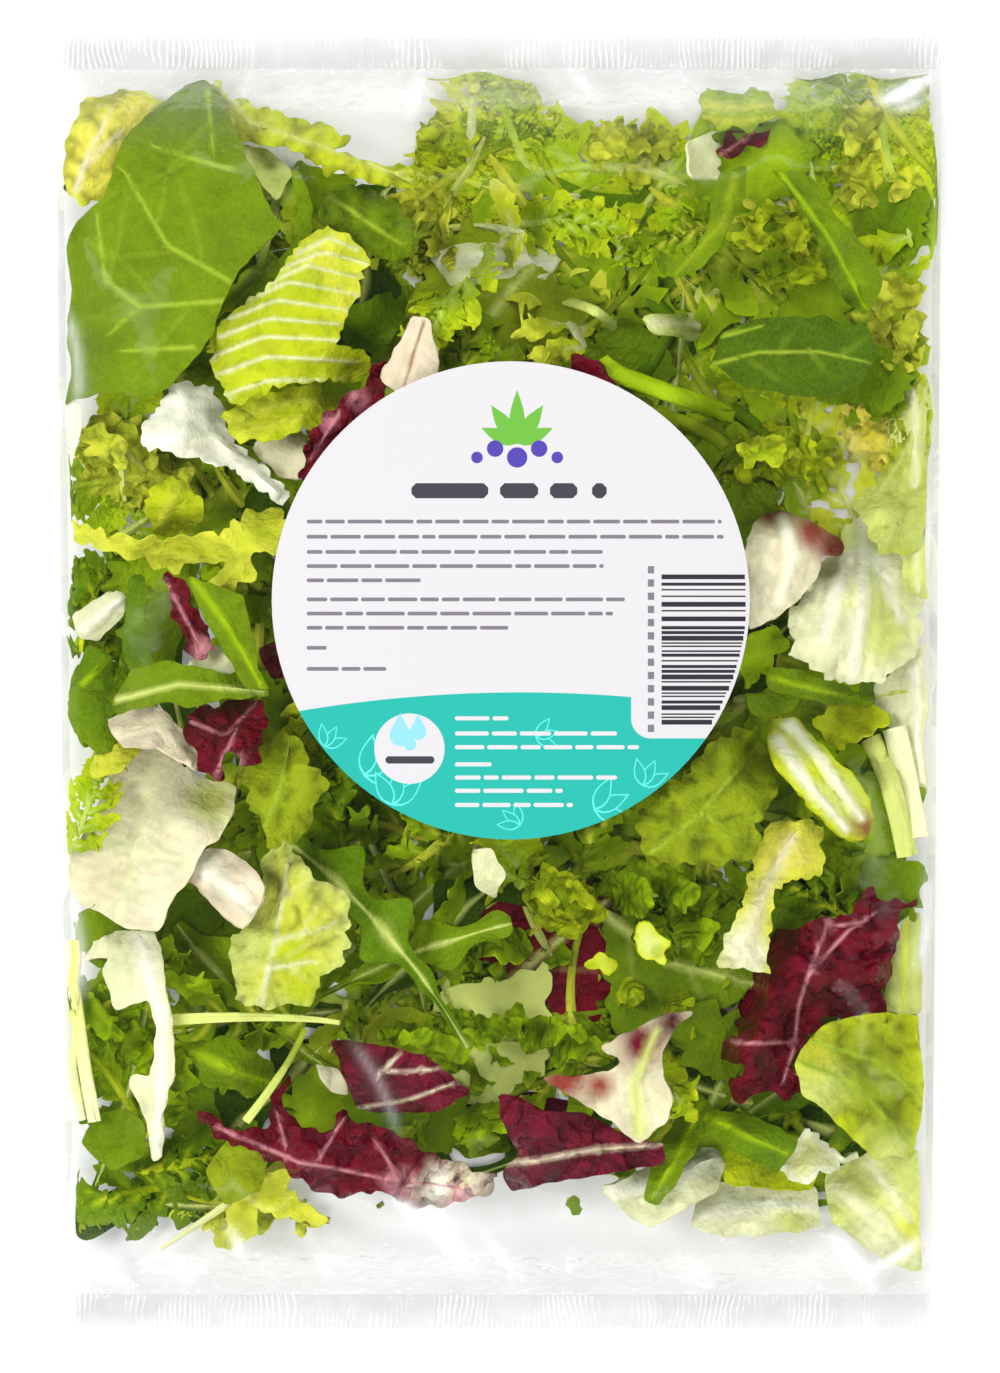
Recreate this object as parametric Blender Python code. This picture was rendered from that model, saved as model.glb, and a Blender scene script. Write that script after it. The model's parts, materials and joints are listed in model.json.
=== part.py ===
"""A flat clear bag of mixed salad leaves with a round paper label, lying on its back.

The origin is the middle of the bag's footprint, on the surface it lies on.
+X runs across the bag, +Y towards the end at the head of the label, and +Z up.
The filled bag is one closed pillow with a flat welded seal at each end.
"""

import math

import bmesh
import bpy
from mathutils import Vector

# Outline of the bag, in metres
BAG_LENGTH = 0.267
HEAD_WIDTH = 0.1825
FOOT_WIDTH = 0.1780
SEAL_DEPTH = 0.0070
EDGE_THICKNESS = 0.0012

# Heights above the surface that the bag lies on
FILLED_HEIGHT = 0.0265
FOLD_HEIGHT = 0.0090
SEAL_HEIGHT = 0.0042
CORNER_DROP = 0.0016
SEAL_WAVE = 0.0007
SEAL_WAVE_LENGTH = 0.064

# Form of the pillow between its seals
END_TAPER = 0.046
END_ROUNDNESS = 0.85
TOP_SIDE_POWER = 4.2
TOP_SIDE_ROUNDNESS = 0.62
BASE_SIDE_POWER = 5.0
BASE_FULLNESS = 1.30
BASE_ROUNDNESS = 1.25

# Leaves pressing the film up: (height, wave across, wave along, turn of both)
LUMPS = (
    (0.00075, 0.071, 0.083, 0.4),
    (0.00060, 0.047, 0.058, 2.1),
    (0.00045, 0.033, 0.039, 4.0),
)
# Pleats that fan out of each seal: (height, wave across, turn)
PLEATS = (
    (0.00095, 0.0310, 0.7),
    (0.00060, 0.0193, 2.6),
)
PLEAT_REACH = 0.030

# Round label, and where its middle lies on the bag
LABEL_DIAMETER = 0.0977
LABEL_ACROSS = 0.0024
LABEL_ALONG = 0.0166
LABEL_THICKNESS = 0.0003
LABEL_GAP = 0.0004
LABEL_MARGIN = 0.012

# Facets
COLUMNS = 40
SEAL_ROWS = 2
TAPER_ROWS = 8
BODY_ROWS = 25
EDGE_CROWDING = 0.55
LABEL_RINGS = 6
LABEL_SIDES = 44


def clear_scene():
    for obj in list(bpy.data.objects):
        bpy.data.objects.remove(obj)


def blend_step(value, low, high):
    """0 below low, 1 above high, and a smooth rise between them."""
    share = min(1.0, max(0.0, (value - low) / (high - low)))
    return share * share * (3.0 - 2.0 * share)


def half_width(y):
    share = y / BAG_LENGTH + 0.5
    return 0.5 * (FOOT_WIDTH + (HEAD_WIDTH - FOOT_WIDTH) * share)


def from_seal(y):
    """Distance from the inner edge of the nearer seal, negative on the seal."""
    return BAG_LENGTH / 2 - SEAL_DEPTH - abs(y)


def end_swell(y):
    """0 on the seals, rising in a round shoulder to 1 over the filled length."""
    share = min(1.0, max(0.0, from_seal(y) / END_TAPER))
    return math.sin(math.pi / 2 * share) ** END_ROUNDNESS


def side_swell(s, power, roundness):
    """1 over the middle of the bag's width and 0 at its side folds, s = -1 and 1."""
    return max(0.0, 1.0 - abs(s) ** power) ** roundness


def middle_height(s, y):
    """Height of the side folds, and of the seals with their slight wave."""
    swell = end_swell(y)
    droop = CORNER_DROP * s * s
    wave = SEAL_WAVE * math.sin(2 * math.pi * s * half_width(y) / SEAL_WAVE_LENGTH + y)
    seal = SEAL_HEIGHT - droop + wave
    return seal + (FOLD_HEIGHT - seal) * swell


def label_cover(x, y):
    """1 well inside the label, where its paper holds the film flat, and 0 away from it."""
    reach = math.hypot(x - LABEL_ACROSS, y - LABEL_ALONG)
    radius = LABEL_DIAMETER / 2
    return 1.0 - blend_step(reach, radius, radius + LABEL_MARGIN)


def lumps(x, y):
    height = 0.0
    for size, across, along, turn in LUMPS:
        height += size * math.sin(2 * math.pi * x / across + turn) * math.cos(
            2 * math.pi * y / along + 1.7 * turn
        )
    return height


def pleats(x, y):
    """Folds that leave the seal and fade out over the pillow's shoulder."""
    away = from_seal(y)
    if away <= 0.0:
        return 0.0
    fade = math.exp(-((away / PLEAT_REACH) ** 2)) * blend_step(away, 0.0, 0.006)
    side = 1.0 if y > 0 else -1.0
    fan = 1.0 + 2.2 * away
    height = 0.0
    for size, across, turn in PLEATS:
        height += size * math.sin(2 * math.pi * x / (across * fan) + side * turn)
    return height * fade


def top_height(x, y):
    s = max(-1.0, min(1.0, x / half_width(y)))
    fold = middle_height(s, y) + EDGE_THICKNESS / 2
    swell = end_swell(y) * side_swell(s, TOP_SIDE_POWER, TOP_SIDE_ROUNDNESS)
    loose = (lumps(x, y) * (1.0 - label_cover(x, y)) * swell
             + pleats(x, y) * side_swell(s, TOP_SIDE_POWER, 1.0))
    return fold + (FILLED_HEIGHT - fold) * swell + loose


def base_height(x, y):
    """The underside: flat on the table in the middle and lifting to folds and seals."""
    s = max(-1.0, min(1.0, x / half_width(y)))
    fold = middle_height(s, y) - EDGE_THICKNESS / 2
    full = BASE_FULLNESS * end_swell(y) * side_swell(s, BASE_SIDE_POWER, 1.0)
    return fold * max(0.0, 1.0 - full) ** BASE_ROUNDNESS


def column_places():
    """Places across the bag from -1 to 1, closer together towards the side folds."""
    places = []
    for column in range(COLUMNS + 1):
        even = 2.0 * column / COLUMNS - 1.0
        crowded = math.sin(math.pi / 2 * even)
        places.append(even + (crowded - even) * EDGE_CROWDING)
    return places


def row_places():
    """Places along the bag: two seals, two shoulders and the body between them."""
    end = BAG_LENGTH / 2
    seal = end - SEAL_DEPTH
    shoulder = seal - END_TAPER
    half = [end - SEAL_DEPTH * row / SEAL_ROWS for row in range(SEAL_ROWS)]
    half += [seal - END_TAPER * row / TAPER_ROWS for row in range(TAPER_ROWS)]
    body = [shoulder - 2 * shoulder * row / BODY_ROWS for row in range(BODY_ROWS + 1)]
    return [-y for y in half] + [-y for y in body] + list(reversed(half))


def principled(name, colour, roughness, metallic=0.0):
    material = bpy.data.materials.new(name)
    material.use_nodes = True
    shader = material.node_tree.nodes["Principled BSDF"]
    shader.inputs["Base Color"].default_value = (*colour, 1.0)
    shader.inputs["Roughness"].default_value = roughness
    shader.inputs["Metallic"].default_value = metallic
    material.diffuse_color = (*colour, 1.0)
    return material


def add_object(name, mesh_data, materials):
    obj = bpy.data.objects.new(name, mesh_data)
    bpy.context.scene.collection.objects.link(obj)
    for material in materials:
        mesh_data.materials.append(material)
    mesh_data.shade_smooth()
    mesh_data.set_sharp_from_angle(angle=math.radians(50))
    return obj


def bag_mesh():
    """Top and underside as two grids that share a narrow wall all round."""
    bm = bmesh.new()
    columns = column_places()
    rows = row_places()

    def layer(height):
        grid = []
        for y in rows:
            line = []
            for s in columns:
                x = s * half_width(y)
                line.append(bm.verts.new((x, y, height(x, y))))
            grid.append(line)
        return grid

    top = layer(top_height)
    base = layer(base_height)
    last_row = len(rows) - 1
    for r in range(last_row):
        for c in range(COLUMNS):
            bm.faces.new((top[r][c], top[r][c + 1], top[r + 1][c + 1], top[r + 1][c]))
            bm.faces.new((base[r][c], base[r + 1][c], base[r + 1][c + 1], base[r][c + 1]))
    for r in range(last_row):
        bm.faces.new((top[r][0], top[r + 1][0], base[r + 1][0], base[r][0]))
        bm.faces.new((top[r + 1][COLUMNS], top[r][COLUMNS],
                      base[r][COLUMNS], base[r + 1][COLUMNS]))
    for c in range(COLUMNS):
        bm.faces.new((top[0][c + 1], top[0][c], base[0][c], base[0][c + 1]))
        bm.faces.new((top[last_row][c], top[last_row][c + 1],
                      base[last_row][c + 1], base[last_row][c]))
    bmesh.ops.triangulate(bm, faces=bm.faces)
    mesh_data = bpy.data.meshes.new("bag")
    bm.to_mesh(mesh_data)
    bm.free()
    return mesh_data


def label_mesh():
    """A round of paper that follows the film."""
    bm = bmesh.new()
    middle = Vector((LABEL_ACROSS, LABEL_ALONG))

    def ring_corners(radius, lift):
        corners = []
        for side in range(LABEL_SIDES):
            angle = 2 * math.pi * side / LABEL_SIDES
            x = middle.x + radius * math.cos(angle)
            y = middle.y + radius * math.sin(angle)
            corners.append(bm.verts.new((x, y, top_height(x, y) + lift)))
        return corners

    def face_of_rings(lift, facing_up):
        centre = bm.verts.new((*middle, top_height(*middle) + lift))
        rings = [ring_corners(LABEL_DIAMETER / 2 * (ring + 1) / LABEL_RINGS, lift)
                 for ring in range(LABEL_RINGS)]
        for side in range(LABEL_SIDES):
            after = (side + 1) % LABEL_SIDES
            corners = [centre, rings[0][side], rings[0][after]]
            bm.faces.new(corners if facing_up else corners[::-1])
            for inner, outer in zip(rings, rings[1:]):
                corners = [inner[side], outer[side], outer[after], inner[after]]
                bm.faces.new(corners if facing_up else corners[::-1])
        return rings[-1]

    under = face_of_rings(LABEL_GAP, facing_up=False)
    upper = face_of_rings(LABEL_GAP + LABEL_THICKNESS, facing_up=True)
    for side in range(LABEL_SIDES):
        after = (side + 1) % LABEL_SIDES
        bm.faces.new((under[side], under[after], upper[after], upper[side]))
    bmesh.ops.triangulate(bm, faces=bm.faces)
    mesh_data = bpy.data.meshes.new("label")
    bm.to_mesh(mesh_data)
    bm.free()
    return mesh_data


def main():
    clear_scene()
    filled_film = principled("film_over_leaves", (0.27, 0.36, 0.07), roughness=0.18)
    label_white = principled("label_white", (0.92, 0.91, 0.92), roughness=0.35)
    add_object("bag", bag_mesh(), [filled_film])
    add_object("label", label_mesh(), [label_white])


main()
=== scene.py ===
import bpy
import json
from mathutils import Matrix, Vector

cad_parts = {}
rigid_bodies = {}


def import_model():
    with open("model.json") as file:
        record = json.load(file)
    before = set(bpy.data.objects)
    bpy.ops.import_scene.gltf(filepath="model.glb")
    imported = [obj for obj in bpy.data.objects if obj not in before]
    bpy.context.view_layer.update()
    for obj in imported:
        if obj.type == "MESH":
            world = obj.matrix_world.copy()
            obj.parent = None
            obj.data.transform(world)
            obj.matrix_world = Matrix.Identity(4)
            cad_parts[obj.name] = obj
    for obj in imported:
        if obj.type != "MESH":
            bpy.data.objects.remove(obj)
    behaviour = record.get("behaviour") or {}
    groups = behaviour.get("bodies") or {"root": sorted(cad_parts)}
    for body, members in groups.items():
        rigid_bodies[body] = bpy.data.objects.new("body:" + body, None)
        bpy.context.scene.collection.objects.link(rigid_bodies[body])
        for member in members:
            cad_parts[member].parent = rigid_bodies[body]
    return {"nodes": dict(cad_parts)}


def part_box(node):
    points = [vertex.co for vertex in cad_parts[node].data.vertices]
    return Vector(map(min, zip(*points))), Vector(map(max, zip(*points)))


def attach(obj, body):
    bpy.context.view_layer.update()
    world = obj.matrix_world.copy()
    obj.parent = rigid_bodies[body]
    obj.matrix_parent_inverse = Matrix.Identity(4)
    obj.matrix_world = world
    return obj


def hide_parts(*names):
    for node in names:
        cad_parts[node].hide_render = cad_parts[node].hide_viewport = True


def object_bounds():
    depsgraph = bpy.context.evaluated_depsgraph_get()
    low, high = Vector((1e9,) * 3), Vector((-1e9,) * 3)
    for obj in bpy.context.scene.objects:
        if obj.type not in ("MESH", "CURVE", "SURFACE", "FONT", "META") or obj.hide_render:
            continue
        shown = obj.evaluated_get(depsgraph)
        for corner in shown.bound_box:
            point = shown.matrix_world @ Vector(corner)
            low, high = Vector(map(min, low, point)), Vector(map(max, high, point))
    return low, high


for leftover in list(bpy.data.objects):
    bpy.data.objects.remove(leftover)
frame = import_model()
cad_box = [list(corner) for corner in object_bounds()]

# %% [markdown]
# A bag of mixed salad leaves. The real thing is a flat tube of clear film, welded across both ends, blown
# up a little with gas and filled with cut leaves: curly endive, broad endive, rocket and red chicory. A
# round paper label is stuck on its front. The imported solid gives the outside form, so every leaf is laid
# between its upper and lower surface, and the film is drawn over that same surface.
#
# Shapes below are in millimetres, because leaves are small. Places are read off the photograph in its
# pixels, and on_bag turns them into millimetres from the middle of the bag.

# %% Tools and measures
import json
import math
from functools import partial

import bmesh
import numpy as np
from mathutils import Vector, noise
from mathutils.bvhtree import BVHTree
from mathutils.geometry import delaunay_2d_cdt

MM = 0.001
PHOTO_MIDDLE = (499.0, 681.5)
PHOTO_MM_PER_PIXEL = 0.2058
BAG_LENGTH = (cad_box[1][1] - cad_box[0][1]) / MM
HEAD_WIDTH = (cad_box[1][0] - cad_box[0][0]) / MM
FOOT_WIDTH = HEAD_WIDTH * 0.9753
SEAL_DEPTH = 7.0


def on_bag(*pixels):
    """Places in the photograph as rows of x and y, in millimetres from the middle of the bag."""
    places = np.asarray(pixels, dtype=float)
    return (places - PHOTO_MIDDLE) * (PHOTO_MM_PER_PIXEL, -PHOTO_MM_PER_PIXEL)


def half_width(y):
    return 0.5 * (FOOT_WIDTH + (HEAD_WIDTH - FOOT_WIDTH) * (np.asarray(y) / BAG_LENGTH + 0.5))


def colour(red, green, blue):
    """A colour as a screen shows it, 0 to 255, as the linear values that shading uses."""
    share = np.array((red, green, blue)) / 255.0
    return tuple(np.where(share <= 0.04045, share / 12.92, ((share + 0.055) / 1.055) ** 2.4))


def select_nothing():
    bpy.ops.object.select_all(action="DESELECT")


print(f"bag {HEAD_WIDTH:.1f} x {BAG_LENGTH:.1f} mm")

# %% [markdown]
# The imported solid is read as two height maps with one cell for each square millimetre: how high the film
# is over each place, and how high the film under it is. Rays cast down and up on the solid measure both.
# A light blur takes its facets out, so that nothing laid against it shows them.

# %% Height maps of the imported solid
CELLS_X = np.arange(-95, 96)
CELLS_Y = np.arange(-137, 138)
FACET_BLUR = 3
RAY_START = 0.2


def mean_of_neighbours(field):
    wide = np.pad(field, 1, mode="edge")
    across = (wide[:, :-2] + wide[:, 1:-1] + wide[:, 2:]) / 3
    return (across[:-2] + across[1:-1] + across[2:]) / 3


def least_of_neighbours(field):
    wide = np.pad(field, 1, mode="edge")
    across = np.minimum(np.minimum(wide[:, :-2], wide[:, 1:-1]), wide[:, 2:])
    return np.minimum(np.minimum(across[:-2], across[1:-1]), across[2:])


def measure_side(tree, from_above):
    """Height of the solid's surface in each cell, in millimetres."""
    heights = np.full((len(CELLS_Y), len(CELLS_X)), np.nan)
    start = RAY_START if from_above else -RAY_START
    ray = Vector((0, 0, -1 if from_above else 1))
    for row, y in enumerate(CELLS_Y):
        y = max(-BAG_LENGTH / 2 + 0.1, min(BAG_LENGTH / 2 - 0.1, y))
        reach = half_width(y) - 0.1
        for column, x in enumerate(CELLS_X):
            x = max(-reach, min(reach, x))
            hit = tree.ray_cast(Vector((x * MM, y * MM, start)), ray)[0]
            heights[row, column] = hit.z / MM
    for _ in range(FACET_BLUR):
        heights = mean_of_neighbours(heights)
    return heights


solid = bmesh.new()
solid.from_mesh(frame["nodes"]["bag"].data)
solid_tree = BVHTree.FromBMesh(solid)
solid.free()
film_top = measure_side(solid_tree, from_above=True)
film_base = measure_side(solid_tree, from_above=False)


def sample(field, x, y):
    """The field's value at places between its cells."""
    across = np.clip(np.asarray(x) - CELLS_X[0], 0, len(CELLS_X) - 1.001)
    along = np.clip(np.asarray(y) - CELLS_Y[0], 0, len(CELLS_Y) - 1.001)
    column = across.astype(int)
    row = along.astype(int)
    right = across - column
    up = along - row
    low = field[row, column] * (1 - right) + field[row, column + 1] * right
    high = field[row + 1, column] * (1 - right) + field[row + 1, column + 1] * right
    return low * (1 - up) + high * up


print(f"film from {film_base.min():.1f} to {film_top.max():.1f} mm above the table")

# %% [markdown]
# Leaf colours. The photograph was taken through film in flat, bright light, so each colour below is the
# leaf's own colour where the light falls full on it, and not the darker mean of a whole patch.

# %% Leaf colours
GREEN = colour(120, 150, 8)
DEEP_GREEN = colour(100, 136, 6)
DARK_GREEN = colour(50, 82, 3)
OVAL_GREEN = colour(82, 116, 5)
FRESH_GREEN = colour(170, 202, 14)
OLIVE = colour(160, 178, 26)
LIME = colour(212, 224, 34)
VEIN_GREEN = colour(172, 198, 56)
YELLOW_GREEN = colour(234, 236, 76)
YELLOW = colour(252, 240, 104)
BRIGHT_YELLOW = colour(250, 228, 60)
PALE_GREEN = colour(224, 234, 132)
PALE = colour(244, 246, 198)
CREAM = colour(246, 238, 202)
WHITE = colour(255, 255, 236)
BEIGE = colour(244, 230, 200)
BURGUNDY = colour(118, 0, 30)
DARK_RED = colour(80, 0, 20)
BRICK = colour(156, 60, 56)
PLUM = colour(116, 16, 42)
PINK = colour(220, 146, 158)
BROWN = colour(150, 100, 50)

# %% [markdown]
# The pile. Loose leaves in a bag lie in layers, each pressed flat against what is over it. A physics run
# of hundreds of thin leaves would be slow and would never give this arrangement, so the leaves are laid
# from the top down instead. The space under the film is a height map. A leaf hangs against it with its
# own waves, and the map is then lowered under that leaf, so the next leaf passes below it. A second map
# does the same from the table up.

# %% The space between the films
FILM_ROOM = 0.45
LAYER_GAP = 0.22
FOLD_MARGIN = 0.7
FOLD_REACH = 3.0
FOLD_WAVE = 1.6
# How far a leaf bridges the steps in what it lies against, in millimetres
SOFT, USUAL, STIFF = 3, 4, 6


class Space:
    """What is still free between the two films, in millimetres."""

    def __init__(self):
        self.ceiling = film_top - FILM_ROOM
        self.floor = film_base + FILM_ROOM
        self.covered = np.zeros(film_top.shape, dtype=bool)

    def eased(self, field, reach):
        """The field without steps sharper than a leaf of this stiffness can follow."""
        for _ in range(reach):
            field = least_of_neighbours(field)
        for _ in range(reach):
            field = mean_of_neighbours(field)
        return field

    def window(self, x, y, reach):
        low = max(0, int(y.min() - CELLS_Y[0]) - reach - 2)
        high = min(len(CELLS_Y), int(y.max() - CELLS_Y[0]) + reach + 3)
        left = max(0, int(x.min() - CELLS_X[0]) - reach - 2)
        right = min(len(CELLS_X), int(x.max() - CELLS_X[0]) + reach + 3)
        return slice(low, high), slice(left, right)

    def limits_at(self, x, y, reach):
        """Height of the eased ceiling and floor over each point."""
        area = self.window(x, y, reach)
        ceiling = self.ceiling.copy()
        ceiling[area] = self.eased(self.ceiling[area], reach)
        floor = self.floor.copy()
        floor[area] = -self.eased(-self.floor[area], reach)
        return sample(ceiling, x, y), sample(floor, x, y)

    def fill(self, x, y, low, high, from_top):
        """Takes a laid leaf's room out of the space, with one cell round each point."""
        field, edge, take = (
            (self.ceiling, low - LAYER_GAP, np.minimum)
            if from_top
            else (self.floor, high + LAYER_GAP, np.maximum)
        )
        column = np.rint(x - CELLS_X[0]).astype(int)
        row = np.rint(y - CELLS_Y[0]).astype(int)
        self.covered[row, column] = True
        for step_y in (-1, 0, 1):
            for step_x in (-1, 0, 1):
                rows = np.clip(row + step_y, 0, len(CELLS_Y) - 1)
                columns = np.clip(column + step_x, 0, len(CELLS_X) - 1)
                take.at(field, (rows, columns), edge)


def uneven_margin(along):
    """How far the leaves stay from a fold: not the same all along, or their edges form a straight line."""
    return FOLD_MARGIN + FOLD_WAVE * (0.5 + 0.5 * np.sin(along / 4.3 + 2.0 * np.sin(along / 11.0)))


def pressed(value, limit):
    """Values beyond the limit less FOLD_REACH are pressed together short of the limit."""
    start = limit - FOLD_REACH
    over = np.maximum(np.abs(value) - start, 0)
    return np.sign(value) * (np.minimum(np.abs(value), start) + FOLD_REACH * np.tanh(over / FOLD_REACH))


def press_inside(x, y):
    """Points that would stick out of the bag are pressed together inside its folds and seals."""
    y = pressed(y, BAG_LENGTH / 2 - SEAL_DEPTH - uneven_margin(x))
    return pressed(x, half_width(y) - uneven_margin(y)), y


space = Space()


def lay(leaf, stiffness=USUAL, from_top=True):
    """Puts a leaf, whose z is its own relief from 0 up, against the ceiling or the floor of the space."""
    points = leaf["points"]
    x, y = press_inside(points[:, 0], points[:, 1])
    relief = points[:, 2] - points[:, 2].min()
    deep = relief.max()
    ceiling, floor = space.limits_at(x, y, stiffness)
    room = np.maximum(ceiling - floor - leaf["thick"], 0.2)
    relief = relief * np.minimum(1.0, room / (deep + 0.01))
    deep = deep * np.minimum(1.0, room / (deep + 0.01))
    half = leaf["thick"] / 2
    z = ceiling - half - (deep - relief) if from_top else floor + half + relief
    z = np.clip(z, sample(film_base, x, y) + FILM_ROOM + half, sample(film_top, x, y) - FILM_ROOM - half)
    leaf["points"] = np.column_stack((x, y, z))
    middles = leaf["points"][leaf["faces"]].mean(axis=1)
    spots = np.vstack((leaf["points"], middles))
    thick = np.append(half, half[leaf["faces"]].mean(axis=1))
    space.fill(spots[:, 0], spots[:, 1], spots[:, 2] - thick, spots[:, 2] + thick, from_top)
    return leaf


# %% [markdown]
# A leaf is kept as plain arrays while it is shaped: its points, its triangles, its thickness and its
# colour at each point. One grid primitive gives the points of a strip, and its rows are moved onto a
# curved midline, with teeth on the edges, a gutter along the middle and a twist that curls it. Strips
# joined on a rib make curly endive, and a single wide strip makes rocket.

# %% Strips that curl
RUFFLE_WAVES = 23.0
grid_templates = {}


def grid_template(across, along):
    """Shares u and t of a grid primitive's corners, -1 to 1 across and 0 to 1 along, and its faces."""
    if (across, along) not in grid_templates:
        select_nothing()
        bpy.ops.mesh.primitive_grid_add(x_subdivisions=across, y_subdivisions=along, size=2)
        grid = bpy.context.object
        corners = np.array([corner.co for corner in grid.data.vertices])
        quads = np.array([list(face.vertices) for face in grid.data.polygons])
        triangles = np.vstack((quads[:, [0, 1, 2]], quads[:, [0, 2, 3]]))
        grid_templates[across, along] = corners[:, 0], corners[:, 1] / 2 + 0.5, triangles
        bpy.data.objects.remove(grid)
    return grid_templates[across, along]


# The share of a midline over which its heading is measured, to both sides
HEADING_SHARE = 0.04


def strip(midline, half, across=2, along=10, roll=None, lift=None, gutter=0.0, ruffle=0.0,
          thick=0.3, paint=None):
    """A leaf strip on a midline of (x, y) rows. half, roll and lift are functions of t, in mm and radians."""
    u, t, faces = grid_template(across, along)
    midline = np.asarray(midline, dtype=float)
    share = np.linspace(0, 1, len(midline))
    x = np.interp(t, share, midline[:, 0])
    y = np.interp(t, share, midline[:, 1])
    ahead = np.minimum(t + HEADING_SHARE, 1.0)
    behind = np.maximum(t - HEADING_SHARE, 0.0)
    dx = np.interp(ahead, share, midline[:, 0]) - np.interp(behind, share, midline[:, 0])
    dy = np.interp(ahead, share, midline[:, 1]) - np.interp(behind, share, midline[:, 1])
    size = np.hypot(dx, dy) + 1e-9
    side_x, side_y = dy / size, -dx / size
    reach = u * half(u, t)
    turn = roll(t) if roll else 0.0
    z = (lift(t) if lift else 0.0) + reach * np.sin(turn) + gutter * u * u
    z = z + ruffle * np.abs(u) * np.sin(RUFFLE_WAVES * t + 2.2 * np.sign(u) + 40 * ruffle)
    flat = reach * np.cos(turn)
    points = np.column_stack((x + side_x * flat, y + side_y * flat, z))
    paint = paint if paint is not None else lambda u, t: np.tile(GREEN, (len(u), 1))
    thickness = thick(u, t) if callable(thick) else np.full(len(u), thick)
    return {"points": points, "faces": faces, "thick": thickness, "tint": paint(u, t)}


def joined(parts):
    """Several strips as one leaf."""
    offsets = np.cumsum([0] + [len(part["points"]) for part in parts[:-1]])
    return {
        "points": np.vstack([part["points"] for part in parts]),
        "faces": np.vstack([part["faces"] + offset for part, offset in zip(parts, offsets)]),
        "thick": np.concatenate([part["thick"] for part in parts]),
        "tint": np.vstack([part["tint"] for part in parts]),
    }


def placed(leaf, spot, turn=0.0, size=1.0, mirror=False, height=1.0):
    """A copy of a leaf model, turned by degrees from pointing up the photograph, at a photograph pixel."""
    points = leaf["points"].copy()
    if mirror:
        points[:, 0] *= -1
    angle = math.radians(turn)
    spin = np.array(((math.cos(angle), math.sin(angle)), (-math.sin(angle), math.cos(angle))))
    points[:, :2] = points[:, :2] @ spin * size + on_bag(spot)[0]
    points[:, 2] *= height
    faces = leaf["faces"][:, ::-1] if mirror else leaf["faces"]
    return {"points": points, "faces": faces.copy(), "thick": leaf["thick"].copy(),
            "tint": leaf["tint"].copy()}


def blend(one, other, share):
    """Mixes two colours point by point."""
    share = np.clip(np.asarray(share), 0, 1)[:, None]
    return np.asarray(one) * (1 - share) + np.asarray(other) * share


def jagged(t, pitch, depth, seed):
    """A saw edge: teeth that point to the tip, of uneven depth."""
    place = t * pitch + seed
    tooth = place - np.floor(place)
    uneven = 0.6 + 0.4 * np.sin(np.floor(place) * 2.4 + seed * 5.0)
    return 1.0 - depth * (1.0 - tooth) * uneven


# %% [markdown]
# Curly endive. One real leaf is a pale rib with side ribs, and every side rib carries a narrow, toothed
# blade that twists. Five such leaves are modelled from seeded strips, and copies of them fill the bag.

# %% Curly endive models
FRISEE_MODELS = 5


def bent_line(start, heading, length, bend, steps=14):
    """Rows of (x, y) on a line that leaves start at a heading in degrees and bends evenly."""
    share = np.linspace(0, 1, steps)
    turn = np.radians(heading + bend * share)
    step = length / (steps - 1)
    x = start[0] + np.cumsum(np.append(0, np.sin(turn[:-1]) * step))
    y = start[1] + np.cumsum(np.append(0, np.cos(turn[:-1]) * step))
    return np.column_stack((x, y))


def frisee_paint(rib, blade, tip, reach):
    def paint(u, t):
        base = blend(rib, blade, t * 2.2 + np.abs(u) * 1.5)
        return blend(base, tip, (t * reach - 0.3) * 1.3 + 0.25 * np.abs(u))
    return paint


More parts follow.
